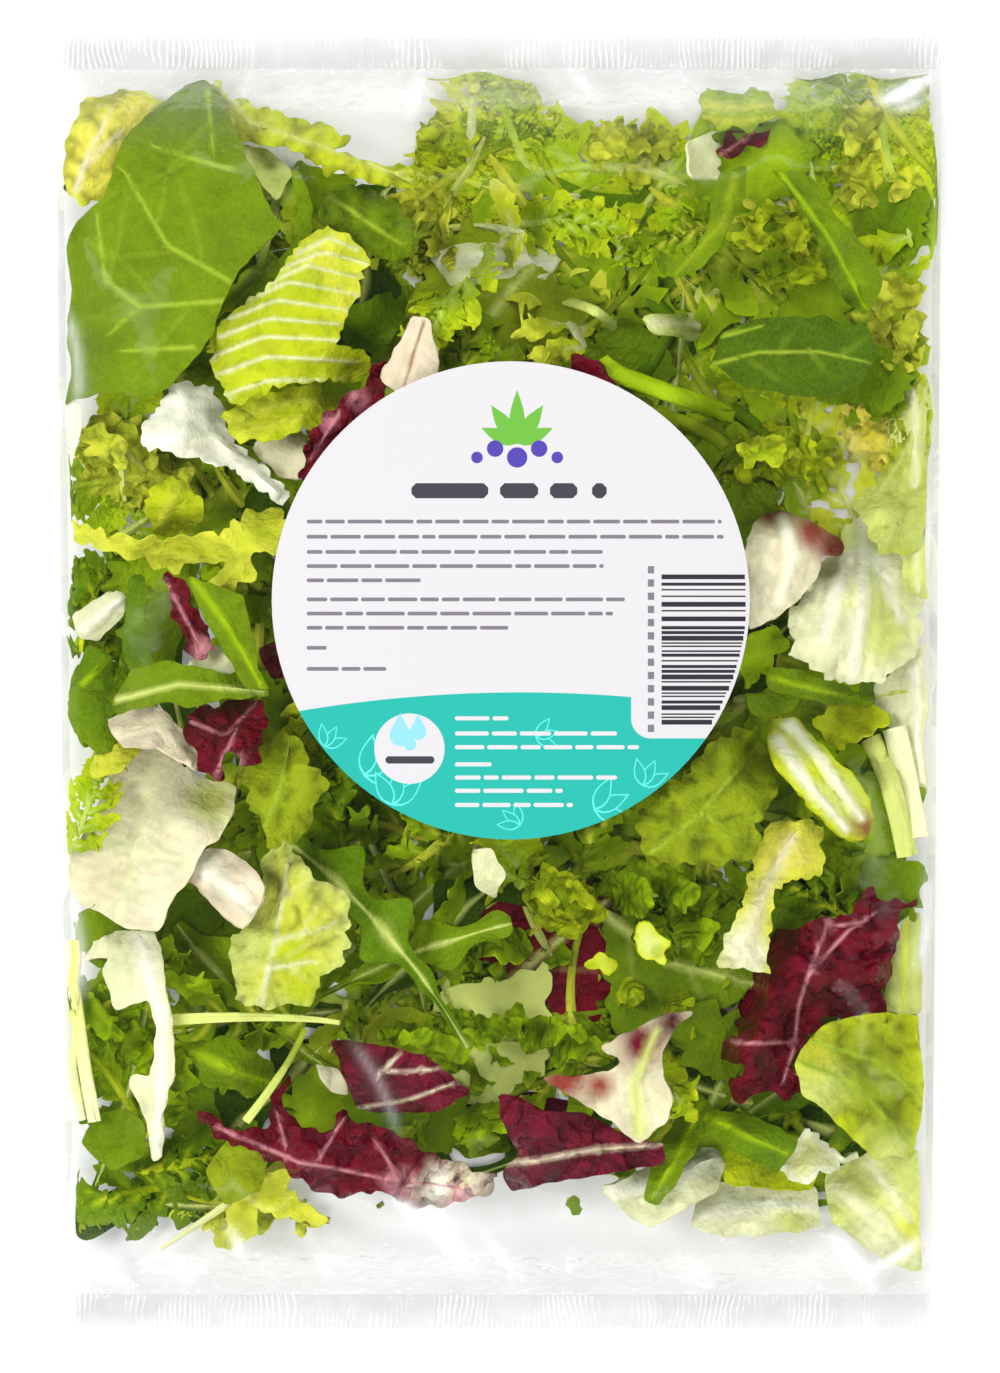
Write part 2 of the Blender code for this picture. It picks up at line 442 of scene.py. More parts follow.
def frisee_leaf(seed, length, rib, blade, tip, fine=True):
    chance = np.random.default_rng(seed)
    spine = bent_line((0, -length / 2), chance.uniform(-8, 8), length, chance.uniform(-60, 60))
    parts = [strip(
        spine, lambda u, t: (1.3 * (1 - t) ** 0.7 + 0.4) * np.minimum(1, 0.25 + 6 * t), across=2, along=12,
        lift=lambda t: 1.2 * np.sin(5 * t), gutter=0.5,
        thick=lambda u, t: 0.4 + 0.9 * (1 - t) * (1 - u * u),
        paint=frisee_paint(rib, rib, blade, 1.4),
    )]
    lobes = 13 if fine else 9
    for number in range(lobes):
        place = 0.03 + 0.95 * (number + chance.uniform(0, 0.6)) / lobes
        side = 1 if number % 2 else -1
        row = min(len(spine) - 2, int(place * (len(spine) - 1)))
        ahead = spine[row + 1] - spine[row]
        along = math.degrees(math.atan2(ahead[0], ahead[1]))
        grown = 0.17 + 0.2 * math.sin(math.pi * min(1, place * 0.9 + 0.1))
        reach = length * grown * chance.uniform(0.75, 1.3)
        heading = along + side * (72 - 50 * place) * chance.uniform(0.7, 1.25)
        path = bent_line(spine[row], heading, reach, -side * chance.uniform(-30, 80))
        phase, curl = chance.uniform(0, 6.3), chance.uniform(0.4, 1.1)
        rise, wide = chance.uniform(0.4, 1.8), chance.uniform(3.0, 5.6)
        parts.append(strip(
            path,
            lambda u, t: wide * (0.2 + 0.95 * np.sin(math.pi * np.minimum(1, t * 0.8 + 0.12)))
            * np.sqrt(np.clip((1.02 - t) * 5, 0, 1)) * jagged(t, 4.4, 0.66, phase + 0.5 * np.sign(u)),
            across=4 if fine else 2, along=20 if fine else 9,
            roll=lambda t: curl * np.sin(6.5 * t + phase),
            lift=lambda t: 1.5 + rise * np.sin(5 * t + phase), gutter=1.1 * math.cos(phase),
            ruffle=chance.uniform(0.7, 1.5), paint=frisee_paint(rib, blade, tip, 1.0),
        ))
        if not fine:
            continue
        twig_side = 1 if chance.random() < 0.5 else -1
        twig = bent_line(path[int(0.6 * (len(path) - 1))], heading + twig_side * chance.uniform(35, 75),
                         chance.uniform(5, 10), twig_side * chance.uniform(-40, 60))
        turn, swing = chance.uniform(0, 6.3), chance.uniform(0.5, 1.3)
        parts.append(strip(
            twig, lambda u, t: 2.2 * (1 - t * 0.85) * jagged(t, 2.5, 0.5, turn), across=2, along=5,
            roll=lambda t: swing * np.sin(5 * t + turn), lift=lambda t: 1.6 + rise * np.sin(turn + 4 * t),
            gutter=0.4, paint=lambda u, t: blend(blade, tip, 0.3 + 0.7 * t + 0 * u),
        ))
    return joined(parts)


FRISEE_TINTS = {
    "green": (YELLOW_GREEN, GREEN, FRESH_GREEN),
    "lime": (PALE_GREEN, FRESH_GREEN, LIME),
    "yellow": (PALE, LIME, YELLOW_GREEN),
    "deep": (LIME, DEEP_GREEN, GREEN),
}
frisee_models = {
    (number, tint): frisee_leaf(40 + number, 46 + 5 * number, *FRISEE_TINTS[tint])
    for number in range(FRISEE_MODELS)
    for tint in FRISEE_TINTS
}
plain_frisee_models = {
    (number, tint): frisee_leaf(40 + number, 46 + 5 * number, *FRISEE_TINTS[tint], fine=False)
    for number in range(FRISEE_MODELS)
    for tint in ("green", "deep", "lime")
}
print(f"{FRISEE_MODELS} curly leaves of {len(frisee_models[0, 'green']['faces'])} triangles")

# %% [markdown]
# Rocket. A long leaf with a thin stalk and a few round lobes a side that lean to the tip. The grid's
# half width follows the lobes, and the same strip with other numbers gives stalks and grass-like bits.

# %% Rocket and stalk models
def rocket_leaf(seed, length, wide, blade, rib, lobes=3):
    chance = np.random.default_rng(seed)
    shift = chance.uniform(0, 0.5)

    def half(u, t):
        wave = 0.5 - 0.5 * np.cos(2 * math.pi * (t * lobes + shift * np.sign(u)))
        body = np.clip((t - 0.22) * 3.0, 0, 1)
        end = np.sqrt(np.clip((1.0 - t) * 7.0, 0.02, 1))
        return 0.9 + (wide * (0.26 + 0.74 * wave ** 1.5) * body) * end

    def paint(u, t):
        return blend(rib, blade, np.abs(u) * 7.0 * np.clip(t + 0.1, 0, 1))

    path = bent_line((0, -length / 2), chance.uniform(-10, 10), length, chance.uniform(-45, 45), steps=24)
    phase = chance.uniform(0, 6.3)
    return strip(
        path, half, across=10, along=44,
        roll=lambda t: 0.32 * np.sin(6 * t + phase),
        lift=lambda t: 1.0 + 1.2 * np.sin(4 * t + phase), gutter=1.1,
        thick=lambda u, t: 0.28 + 0.9 * np.exp(-((u * 6) ** 2)) * (1 - 0.6 * t),
        paint=paint,
    )


rocket_models = [
    rocket_leaf(70 + number, 62 + 4 * number, 7.5 + (number % 3) * 1.5, tint, PALE_GREEN, 2 + number % 3)
    for number, tint in enumerate((DEEP_GREEN, GREEN, DEEP_GREEN, DARK_GREEN, GREEN, DARK_GREEN))
]
# How deep a stalk is, in shares of its width
STALK_DEPTH = 0.75


def stalk(places, width, tint, end_tint=None, end_width=None):
    """A round stalk through photograph pixels, width in millimetres."""
    path = on_bag(*places)
    steps = np.linspace(0, 1, 16)
    knots = np.linspace(0, 1, len(path))
    order = min(2, len(path) - 1)
    x = np.polyval(np.polyfit(knots, path[:, 0], order), steps)
    y = np.polyval(np.polyfit(knots, path[:, 1], order), steps)
    last = end_width or width
    depth = width * STALK_DEPTH
    return strip(
        np.column_stack((x, y)), lambda u, t: (width + (last - width) * t) / 2, across=6, along=20,
        lift=lambda t: 0.5 + 0.4 * np.sin(5 * t),
        thick=lambda u, t: (
            0.15 + depth * np.sqrt(np.clip(1 - 0.97 * u * u, 0, 1)) * (1 + (last / width - 1) * t)),
        paint=lambda u, t: blend(tint, end_tint or tint, t + 0.12 * np.cos(9 * u)),
    )


# %% [markdown]
# Cut pieces. Broad endive, lettuce, red chicory and pale ribs come as torn and cut pieces, each with an
# outline of its own. The outline is drawn round the piece in the photograph, its edge is made
# smooth, toothed or torn, and the inside is filled with points, closer along the ribs. A constrained
# triangulation joins them. The ribs stand a little proud, and the edge is ruffled.

# %% Cut pieces from an outline and ribs
EDGE_STEP = 0.95
INNER_STEP = 2.2
FIBRE_STEP = 1.3
FIBRE_PITCH = 2.3
FINE_CRINKLE = 1.5
# A crumpled leaf is painted darker along its hollows, as painted shade: by how much, and below which height
# of its relief
HOLLOW_SHADE = 0.5
HOLLOW_WIDTH = 0.12
VEIN_STEP = 5.2
VEIN_CLEARANCE = 1.1
VEIN_TURN = 50.0
# Rows of points along a rib, in shares of its width, and along a vein, in millimetres
RIB_SIDES = (-1.7, -0.6, 0.0, 0.6, 1.7)
VEIN_SIDES = (-1.0, -0.3, 0.3, 1.0)
CRUMPLE_SIZE = 5.5
FOLD_SIZE = 8.0


def noise_at(x, y, scale, seed):
    return np.array([noise.noise((a / scale, b / scale, seed)) for a, b in zip(x, y)])


def walk(line, step, closed):
    """Points at even steps on a line through the given corners, slightly rounded."""
    line = np.asarray(line, dtype=float)
    corners = np.vstack((line, line[:1])) if closed else line
    lengths = np.hypot(*np.diff(corners, axis=0).T)
    along = np.append(0, np.cumsum(lengths))
    count = max(3, int(along[-1] / step))
    spots = np.linspace(0, along[-1], count, endpoint=not closed)
    path = np.column_stack([np.interp(spots, along, corners[:, axis]) for axis in (0, 1)])
    if closed:
        soft = (np.roll(path, 1, axis=0) + path * 2 + np.roll(path, -1, axis=0)) / 4
        return soft, spots
    return path, spots


def nearest(points, line, closed=False):
    """Distance of each point to a line of corners, and how far along the line that is."""
    ends = np.roll(line, -1, axis=0) if closed else line[1:]
    starts = line if closed else line[:-1]
    best = np.full(len(points), 1e9)
    place = np.zeros(len(points))
    walked = 0.0
    for start, end in zip(starts, ends):
        edge = end - start
        length = math.hypot(*edge) + 1e-9
        share = np.clip(((points - start) @ edge) / length ** 2, 0, 1)
        away = np.hypot(*(points - start - share[:, None] * edge).T)
        closer = away < best
        best = np.where(closer, away, best)
        place = np.where(closer, walked + share * length, place)
        walked += length
    return best, place


def inside(points, outline):
    """Whether each point is inside the outline, by counting the edges to its right."""
    hits = np.zeros(len(points), dtype=int)
    for start, end in zip(outline, np.roll(outline, -1, axis=0)):
        crosses = (start[1] > points[:, 1]) != (end[1] > points[:, 1])
        slope = (end[0] - start[0]) / (end[1] - start[1] if end[1] != start[1] else 1e-9)
        hits += crosses & (points[:, 0] < start[0] + (points[:, 1] - start[1]) * slope)
    return hits % 2 == 1


EDGES = {
    # roughness of the cut, depth of the teeth, their pitch, and how round they are
    "smooth": (0.4, 0.0, 8.0, 1.0),
    "toothed": (0.6, 1.3, 3.0, 0.15),
    "frilly": (1.0, 2.0, 6.0, 0.8),
    "torn": (1.3, 0.4, 2.2, 0.3),
    "ruffled": (1.8, 2.2, 3.9, 0.45),
}


def edge_shift(spots, edge, seed):
    """How far each place on the rim moves outward, in millimetres."""
    torn, tooth, pitch, roundness = EDGES[edge]
    uneven = noise_at(spots, spots * 0, 9.0, seed + 5.0)
    phase = spots / pitch + 1.6 * uneven + seed
    saw = phase % 1.0 - 0.5
    lobe = np.abs(np.sin(math.pi * phase)) - 0.5
    depth = tooth * np.clip(0.75 + 1.3 * noise_at(spots, spots * 0, 6.0, seed + 8.0), 0.1, 1.5)
    return torn * noise_at(spots, spots * 0, 3.0, seed) * 1.6 + depth * (saw + (lobe - saw) * roundness)


def triangulated(corners, loops, mode):
    """The corners joined into triangles that face up, and twice the area of each. mode 1 keeps only what
    is inside the loops, and mode 0 all of it."""
    result = delaunay_2d_cdt([Vector(corner) for corner in corners], [], loops, mode, 1e-4)
    flat = np.array([list(point) for point in result[0]])
    faces = np.array([face for face in result[2] if len(face) == 3])
    first, second, third = (flat[faces[:, k]] for k in range(3))
    area = np.cross(second - first, third - first)
    return flat, np.where((area > 0)[:, None], faces, faces[:, ::-1]), area


def side_veins(rib, rim, number):
    """Veins that leave a rib on alternate sides, lean to its tip and stop short of the rim."""
    path, _ = walk(rib, VEIN_STEP, closed=False)
    veins = []
    for place in range(1, len(path) - 1):
        ahead = path[place + 1] - path[place - 1]
        side = 1 if (place + number) % 2 else -1
        heading = math.degrees(math.atan2(ahead[0], ahead[1])) + side * VEIN_TURN
        line = bent_line(path[place], heading, 26.0, -side * 22.0, steps=20)
        within = inside(line, rim)
        reach = int(np.argmin(within)) if not within.all() else len(line)
        if reach > 4:
            veins.append(line[:int(reach * 0.86)])
    return veins


def cut_piece(outline, ribs=(), tint=GREEN, rib_tint=PALE_GREEN, rim_tint=None, edge="smooth", relief=2.2,
              frill=1.2, rib_width=1.0, thick=0.3, crinkle=0.7, patches=(), seed=1.0, dome=0.0, veined=True,
              fibre=0.0):
    """A piece of leaf inside an outline of photograph pixels, with ribs of pixels and its own waves."""
    rim, spots = walk(on_bag(*outline), EDGE_STEP, closed=True)
    ahead = np.roll(rim, -1, axis=0) - np.roll(rim, 1, axis=0)
    size = np.hypot(*ahead.T)[:, None] + 1e-9
    turning = np.sum(rim[:, 0] * np.roll(rim[:, 1], -1) - rim[:, 1] * np.roll(rim[:, 0], -1))
    outward = np.column_stack((ahead[:, 1], -ahead[:, 0])) / size * np.sign(turning)
    rim = rim + outward * edge_shift(spots, edge, seed)[:, None]
    low, high = rim.min(axis=0), rim.max(axis=0)
    step = FIBRE_STEP if fibre or crinkle > FINE_CRINKLE else INNER_STEP
    grid_x, grid_y = np.meshgrid(np.arange(low[0], high[0], step), np.arange(low[1], high[1], step))
    grid = np.column_stack((grid_x.ravel(), grid_y.ravel()))
    chance = np.random.default_rng(int(seed * 10))
    grid = grid + chance.uniform(-0.35, 0.35, grid.shape) * step
    rib_lines = [on_bag(*rib) for rib in ribs]
    veins = []
    for number, line in enumerate(rib_lines if veined else ()):
        veins += side_veins(line, rim, number)
    for line in rib_lines + veins:
        grid = grid[nearest(grid, line)[0] > VEIN_CLEARANCE]
    lined = [(line, np.array(RIB_SIDES) * rib_width) for line in rib_lines]
    lined += [(line, VEIN_SIDES) for line in veins]
    for line, sides in lined:
        for side in sides:
            path, _ = walk(line, 1.5, closed=False)
            ahead = np.gradient(path, axis=0)
            normal = np.column_stack((-ahead[:, 1], ahead[:, 0])) / (np.hypot(*ahead.T)[:, None] + 1e-9)
            grid = np.vstack((grid, path + normal * side))
    away, _ = nearest(grid, rim, closed=True)
    grid = grid[inside(grid, rim) & (away > EDGE_STEP * 0.5)]
    loop = list(range(len(rim)))
    flat, faces, _ = triangulated(np.vstack((rim, grid)), [loop if turning > 0 else loop[::-1]], 1)
    from_edge, place = nearest(flat, rim, closed=True)
    wave = noise_at(flat[:, 0], flat[:, 1], 17.0, seed) * relief
    ruffle = frill * np.exp(-from_edge / 4.5) * np.sin(place / 2.2 + 3 * np.sin(place / 13.0) + seed)
    ruffle = ruffle + 0.45 * frill * np.exp(-from_edge / 2.2) * np.sin(place / 0.95 + 2 * np.sin(place / 7.0))
    fold_size = CRUMPLE_SIZE if crinkle > FINE_CRINKLE else FOLD_SIZE
    crumple = np.abs(noise_at(flat[:, 0], flat[:, 1], fold_size, seed + 9.0))
    mottle = noise_at(flat[:, 0], flat[:, 1], 6.0, seed + 3.0)
    colours = blend(tint, np.asarray(tint) * 0.74, 0.25 + mottle * 0.9)
    if rim_tint is not None:
        colours = blend(colours, rim_tint, np.exp(-from_edge / 3.0))
    # Painted shade: the colour is darkened along the hollows of the crumpled relief
    if crinkle > FINE_CRINKLE:
        colours = colours * (1 - HOLLOW_SHADE * np.exp(-((crumple / HOLLOW_WIDTH) ** 2)))[:, None]
    for px, py, reach, patch in patches:
        gap = np.hypot(*(flat - on_bag((px, py))).T) + mottle * reach * 0.5
        colours = blend(colours, patch, 1.25 - gap / reach)
    height = wave + ruffle + crinkle * crumple
    stout = np.full(len(flat), thick)
    for line in veins:
        gap, walked = nearest(flat, line)
        height = height - 0.34 * np.exp(-((gap / 0.9) ** 2))
        groove = np.exp(-((gap / 0.35) ** 2)) * (1 - walked / (walked.max() + 4.0))
        colours = blend(colours, rib_tint, groove * 0.5)
    for line in rib_lines:
        gap, walked = nearest(flat, line)
        ridge = np.exp(-((gap / (rib_width * (1 - 0.5 * walked / walked.max()))) ** 2))
        height = height + 0.55 * rib_width * ridge
        stout = stout + 0.5 * rib_width * ridge
        colours = blend(colours, rib_tint, ridge * 0.95)
    if fibre and rib_lines:
        gap, _ = nearest(flat, rib_lines[0])
        streak = np.sin(2 * math.pi * (gap / FIBRE_PITCH + 0.8 * mottle))
        height = height + 0.3 * fibre * streak
        colours = colours * (1 - 0.16 * fibre * (0.5 - 0.5 * streak))[:, None]
    if dome:
        stout = stout + 0.45 * dome * np.sqrt(np.clip(from_edge / 3.0, 0, 1))
    return {"points": np.column_stack((flat, height)), "faces": faces, "thick": stout, "tint": colours}


print("cut pieces ready")

# %% [markdown]
# The pile is now laid in the order of the photograph, from the leaves that touch the film down. Each
# piece goes to the group of its own kind, and each group becomes one object at the end. Below, pale is a
# bleached rib or leaf base, broad a piece of broad endive, red a piece of red chicory, and blade a piece
# of rocket cut by its own outline.

# %% Laying by kind
HEAD_GROUP_END = 500
LOBE_SHARE = 0.40
LOBE_REACH = 0.52
groups = {}


def add(group, leaf, stiffness=USUAL, from_top=True):
    groups.setdefault(group, []).append(lay(leaf, stiffness, from_top))


def cut(group, outline, stiffness=USUAL, **looks):
    number = sum(len(laid) for laid in groups.values())
    looks.setdefault("fibre", 1.0 if group == "chicory_ribs" else 0.0)
    looks.setdefault("veined", group not in ("chicory_ribs", "red_chicory"))
    add(group, cut_piece(outline, seed=1.0 + 0.37 * number, **looks), stiffness)


# The usual looks of each kind, so that a piece says only what is its own
pale = partial(cut, "chicory_ribs", tint=PALE_GREEN, rib_tint=WHITE, relief=0.8)
broad = partial(cut, "broad_endive", tint=YELLOW_GREEN, rib_tint=YELLOW_GREEN, edge="frilly")
lettuce = partial(cut, "lettuce", tint=OLIVE, rib_tint=VEIN_GREEN, edge="frilly", rib_width=0.5)
red = partial(cut, "red_chicory", tint=BURGUNDY, rib_tint=PINK, rib_width=0.4, crinkle=1.0)
blade = partial(cut, "rocket", tint=DEEP_GREEN, rib_tint=FRESH_GREEN, rib_width=0.6)


def curly(spot, turn, size, tint, model, mirror=False):
    """A curly endive leaf. Their group is cut in two, because one mesh would be too heavy."""
    group = "curly_endive_head" if spot[1] < HEAD_GROUP_END else "curly_endive_foot"
    add(group, placed(frisee_models[model, tint], spot, turn, size, mirror, size), SOFT)


def ruffled(outline, tint=FRESH_GREEN, rim_tint=LIME, **looks):
    """A broad, ruffled piece of endive. Lobes of its rim fold over onto the blade, so they are laid first."""
    corners = np.array(outline, dtype=float)
    middle = corners.mean(axis=0)
    for corner in corners[::2]:
        lobe = middle + (corners - middle) * LOBE_SHARE + (corner - middle) * LOBE_REACH
        cut("ruffled_endive", lobe, tint=tint, rim_tint=rim_tint, edge="ruffled", relief=1.4, frill=1.8,
            crinkle=2.0)
    cut("ruffled_endive", outline, tint=tint, rim_tint=rim_tint, edge="ruffled", relief=2.6, frill=2.4,
        crinkle=4.0, **looks)


def rocket(spot, turn, size, model):
    add("rocket", placed(rocket_models[model], spot, turn, size))


# %% [markdown]
# The head of the bag on the left: one big soft lettuce leaf with pale veins lies on top of everything,
# over a yellow leaf and a long lime strip, with a broad endive leaf and its even ribs to its right.

# %% Head, left
lettuce([(205, 75), (218, 92), (236, 133), (262, 190), (282, 231), (239, 274), (221, 314), (210, 345),
    (190, 366), (172, 388), (147, 399), (117, 392), (80, 398), (60, 406), (64, 357), (66, 296), (63, 247),
    (76, 222), (106, 195), (117, 155), (126, 133), (153, 109), (184, 84)], ribs=[[(232, 284), (169, 247),
    (147, 210), (126, 173)], [(226, 303), (141, 308), (106, 280), (98, 219)], [(141, 308), (112, 334)],
    [(230, 170), (187, 158), (153, 146)], [(207, 90), (214, 152)], [(193, 349), (126, 352)]], tint=GREEN,
    relief=1.6, frill=0.5, edge="smooth")
pale([(413, 317), (432, 323), (440, 372), (425, 400), (400, 400), (380, 381), (401, 341)],
    ribs=[[(424, 325), (404, 392)]], tint=BEIGE, rib_tint=BROWN, rib_width=0.4, relief=0.6, frill=0.2,
    thick=0.7, dome=1.0)
red([(386, 360), (371, 372), (352, 397), (325, 415), (309, 442), (298, 480), (318, 480), (349, 437),
    (380, 410), (390, 380)], ribs=[[(340, 415), (312, 460)]], rib_width=0.35, edge="torn", frill=1.4,
    crinkle=3.6, patches=[(356, 400, 2, PINK), (330, 424, 2, PINK)])
broad([(303, 240), (328, 228), (355, 240), (371, 265), (358, 295), (346, 323), (334, 344), (364, 351),
    (374, 362), (355, 384), (315, 381), (273, 390), (236, 409), (221, 387), (211, 360), (221, 323),
    (254, 299), (279, 277)], ribs=[[(222, 398), (268, 382), (340, 380)], [(214, 378), (268, 358),
    (352, 362)], [(212, 358), (266, 338), (340, 342)], [(220, 338), (270, 320), (340, 326)], [(230, 320),
    (278, 302), (350, 312)], [(246, 304), (290, 284), (358, 296)], [(264, 288), (308, 268), (364, 280)],
    [(282, 272), (324, 254), (368, 266)], [(298, 256), (330, 240), (354, 250)]], tint=LIME, rib_tint=PALE,
    rib_width=0.42, relief=2.6, frill=1.4, edge="toothed", veined=False,
    patches=[(330, 250, 8, YELLOW_GREEN), (356, 300, 6, YELLOW_GREEN)])
blade([(290, 170), (300, 172), (312, 205), (314, 222), (302, 256), (278, 290), (240, 316), (236, 300),
    (266, 276), (290, 248), (298, 215)], tint=GREEN, relief=1.5, frill=0.8)
broad([(216, 69), (224, 97), (260, 108), (315, 122), (355, 136), (334, 152), (383, 168), (422, 176),
    (401, 192), (361, 182), (315, 168), (303, 152), (254, 142), (232, 133), (208, 97)], ribs=[[(216, 80),
    (250, 122), (330, 150), (410, 182)]], rib_tint=PALE_GREEN, rib_width=0.6, frill=1.8, rim_tint=LIME,
    crinkle=2.5)
broad([(84, 100), (117, 87), (141, 89), (162, 100), (140, 140), (125, 160), (116, 190), (106, 199),
    (80, 206), (63, 179), (58, 149), (71, 124)], ribs=[[(75, 190), (90, 150), (110, 110)], [(84, 165),
    (120, 130)]], tint=YELLOW, rib_tint=CREAM, rib_width=0.6, frill=1.6, crinkle=2.0,
    rim_tint=YELLOW_GREEN)
broad([(241, 142), (270, 148), (295, 172), (276, 202), (260, 182), (245, 160)], tint=PALE_GREEN,
    relief=1.2, frill=0.6, edge="smooth")
lettuce([(330, 188), (372, 190), (404, 210), (420, 240), (402, 262), (372, 258), (346, 232), (316, 222)],
    ribs=[[(330, 196), (400, 245)]], tint=GREEN, frill=1.6, crinkle=2.0)
ruffled([(385, 196), (420, 186), (448, 196), (470, 226), (458, 262), (430, 280), (402, 262), (392, 230)],
    LIME, YELLOW_GREEN)
curly((452, 300), 150, 0.5, "lime", 2)
lettuce([(346, 306), (372, 300), (400, 282), (412, 306), (400, 330), (374, 352), (340, 342)],
    tint=DEEP_GREEN, edge="toothed", frill=1.4)
broad([(224, 412), (254, 396), (315, 384), (340, 403), (312, 430), (273, 440), (236, 442)],
    ribs=[[(228, 424), (280, 404), (332, 400)], [(240, 436), (300, 420)]], tint=LIME, rib_width=1.4,
    frill=1.9)
pale([(172, 381), (211, 387), (226, 412), (228, 432), (254, 458), (290, 494), (283, 506), (262, 492),
    (236, 470), (205, 462), (187, 457), (144, 450), (140, 427), (162, 409)], ribs=[[(160, 436),
    (215, 440), (278, 496)], [(180, 396), (212, 432)]], tint=WHITE, rib_width=1.8, edge="toothed",
    relief=1.2, frill=0.9, thick=0.5)
pale([(270, 424), (294, 421), (311, 449), (302, 482), (280, 478), (252, 449)], tint=CREAM, relief=1.4,
    frill=1.0, thick=0.6)
pale([(58, 402), (80, 398), (82, 430), (66, 470), (60, 440)], tint=WHITE)

# %% [markdown]
# The head of the bag on the right: curly endive along the top edge, a lobed rocket leaf in front of it, a
# long green leaf that runs down to the side, darkened down its left edge by painted shade, and one smooth
# oval leaf with a pale midrib.

# %% Head, right
lettuce([(710, 362), (722, 334), (755, 322), (817, 317), (863, 326), (877, 351), (863, 381), (832, 400),
    (780, 395), (740, 386)], ribs=[[(712, 366), (755, 354), (817, 353), (872, 364)], [(722, 338),
    (760, 328)]], tint=OVAL_GREEN, rib_width=0.38, relief=1.6, frill=0.8, edge="smooth")
blade([(725, 170), (745, 167), (745, 191), (736, 213), (724, 234), (715, 256), (694, 274), (676, 283),
    (660, 274), (652, 250), (664, 254), (676, 263), (694, 251), (707, 229), (710, 204), (716, 179)],
    ribs=[[(735, 175), (722, 225), (676, 275)]], tint=GREEN, rib_tint=OLIVE, rib_width=0.9, relief=1.4)
# Painted shade: the dark green patches down its left side stand for the shadow that falls there
blade([(771, 170), (811, 176), (834, 216), (865, 247), (883, 284), (866, 318), (847, 305), (829, 280),
    (815, 240), (800, 207)], ribs=[[(780, 174), (825, 235), (866, 310)]], tint=GREEN, rib_width=0.5,
    relief=2.0, patches=[(790, 196, 3, DARK_GREEN), (806, 230, 3.4, DARK_GREEN),
    (822, 266, 3.4, DARK_GREEN), (846, 302, 3.4, DARK_GREEN)])
ruffled([(735, 216), (770, 204), (805, 212), (815, 250), (828, 282), (800, 300), (770, 290), (746, 302),
    (730, 272), (746, 250)])
ruffled([(736, 440), (762, 424), (800, 430), (832, 444), (846, 470), (830, 492), (792, 480), (760, 496),
    (738, 480)])
ruffled([(872, 274), (915, 282), (920, 326), (929, 354), (904, 378), (875, 370), (866, 340)], LIME,
    YELLOW_GREEN)
ruffled([(842, 398), (862, 392), (886, 404), (898, 428), (892, 462), (866, 470), (846, 446)],
    BRIGHT_YELLOW, YELLOW)
broad([(884, 392), (906, 374), (932, 380), (936, 440), (934, 500), (922, 548), (896, 560), (866, 536),
    (856, 506), (874, 480), (890, 450)], ribs=[[(918, 384), (912, 450), (888, 544)], [(914, 440),
    (868, 510)]], tint=OLIVE, rib_tint=PALE_GREEN, rib_width=0.8, frill=1.4, rim_tint=LIME, crinkle=2.5,
    patches=[(905, 520, 9, PALE_GREEN), (880, 520, 8, PALE_GREEN), (922, 480, 6, PALE_GREEN)])
broad([(707, 84), (734, 93), (755, 86), (771, 93), (779, 112), (755, 129), (725, 129), (700, 118)],
    ribs=[[(702, 104), (740, 108), (776, 104)], [(704, 118), (740, 122), (774, 116)]], tint=FRESH_GREEN,
    rib_width=1.1, edge="torn")
red([(740, 128), (765, 113), (779, 124), (755, 144), (725, 160), (714, 152)], tint=PLUM,
    ribs=[[(720, 156), (768, 120)]], rib_width=0.35, relief=1.0, edge="torn")
pale([(685, 142), (716, 127), (742, 134), (736, 160), (719, 180), (691, 178)], tint=PALE, relief=1.6,
    frill=1.0, thick=0.6, dome=0.8)
pale([(748, 168), (772, 176), (794, 212), (770, 210), (742, 204)], tint=YELLOW_GREEN, relief=1.2,
    thick=0.5, ribs=[[(752, 176), (786, 208)]])
curly((452, 214), 75, 0.5, "yellow", 3)
curly((560, 214), -80, 0.5, "lime", 0)
curly((690, 236), 110, 0.46, "green", 2)
ruffled([(465, 76), (480, 62), (494, 68), (502, 80), (522, 82), (538, 74), (540, 94), (524, 110),
    (504, 104), (488, 112), (474, 98)], PALE_GREEN, YELLOW_GREEN)
ruffled([(418, 126), (442, 114), (470, 118), (490, 130), (488, 160), (480, 182), (468, 206), (448, 200),
    (424, 190), (414, 160)])
ruffled([(588, 132), (612, 118), (640, 128), (660, 118), (682, 140), (672, 170), (640, 184), (600, 182),
    (586, 160)], LIME, YELLOW_GREEN)
ruffled([(838, 106), (870, 98), (884, 84), (902, 96), (934, 104), (940, 148), (924, 190), (892, 216),
    (852, 210), (834, 180), (850, 140)], LIME, YELLOW_GREEN)
ruffled([(786, 132), (806, 118), (832, 124), (846, 150), (836, 186), (812, 196), (792, 172)], GREEN,
    FRESH_GREEN)
curly((800, 150), 20, 0.5, "lime", 0)
curly((862, 150), 30, 0.80, "lime", 1)
curly((905, 165), -160, 0.72, "green", 3)
curly((784, 250), -60, 0.66, "lime", 2)
curly((880, 110), 12, 0.5, "green", 4)
curly((842, 205), 150, 0.55, "green", 0)
pale([(700, 283), (725, 281), (741, 303), (736, 322), (707, 316), (695, 298)], frill=0.3, thick=1.0,
    dome=1.8, ribs=[[(704, 288), (730, 318)]], rib_tint=LIME)
pale([(642, 317), (694, 310), (708, 320), (700, 338), (651, 335)], frill=0.3, thick=0.9, dome=1.6,
    ribs=[[(648, 326), (700, 324)]], rib_tint=PALE)
pale([(430, 254), (470, 238), (520, 240), (562, 256), (548, 276), (500, 280), (450, 288)], tint=PALE,
    relief=1.2, frill=0.4, thick=0.9, dome=1.5, ribs=[[(436, 262), (500, 256), (556, 264)]],
    rib_width=1.4)
pale([(890, 384), (936, 376), (938, 520), (930, 600), (905, 590), (898, 500), (884, 430)], relief=1.2,
    frill=0.5, ribs=[[(915, 390), (918, 590)]], rib_tint=PALE)
red([(569, 355), (600, 364), (617, 389), (590, 396), (572, 378)])
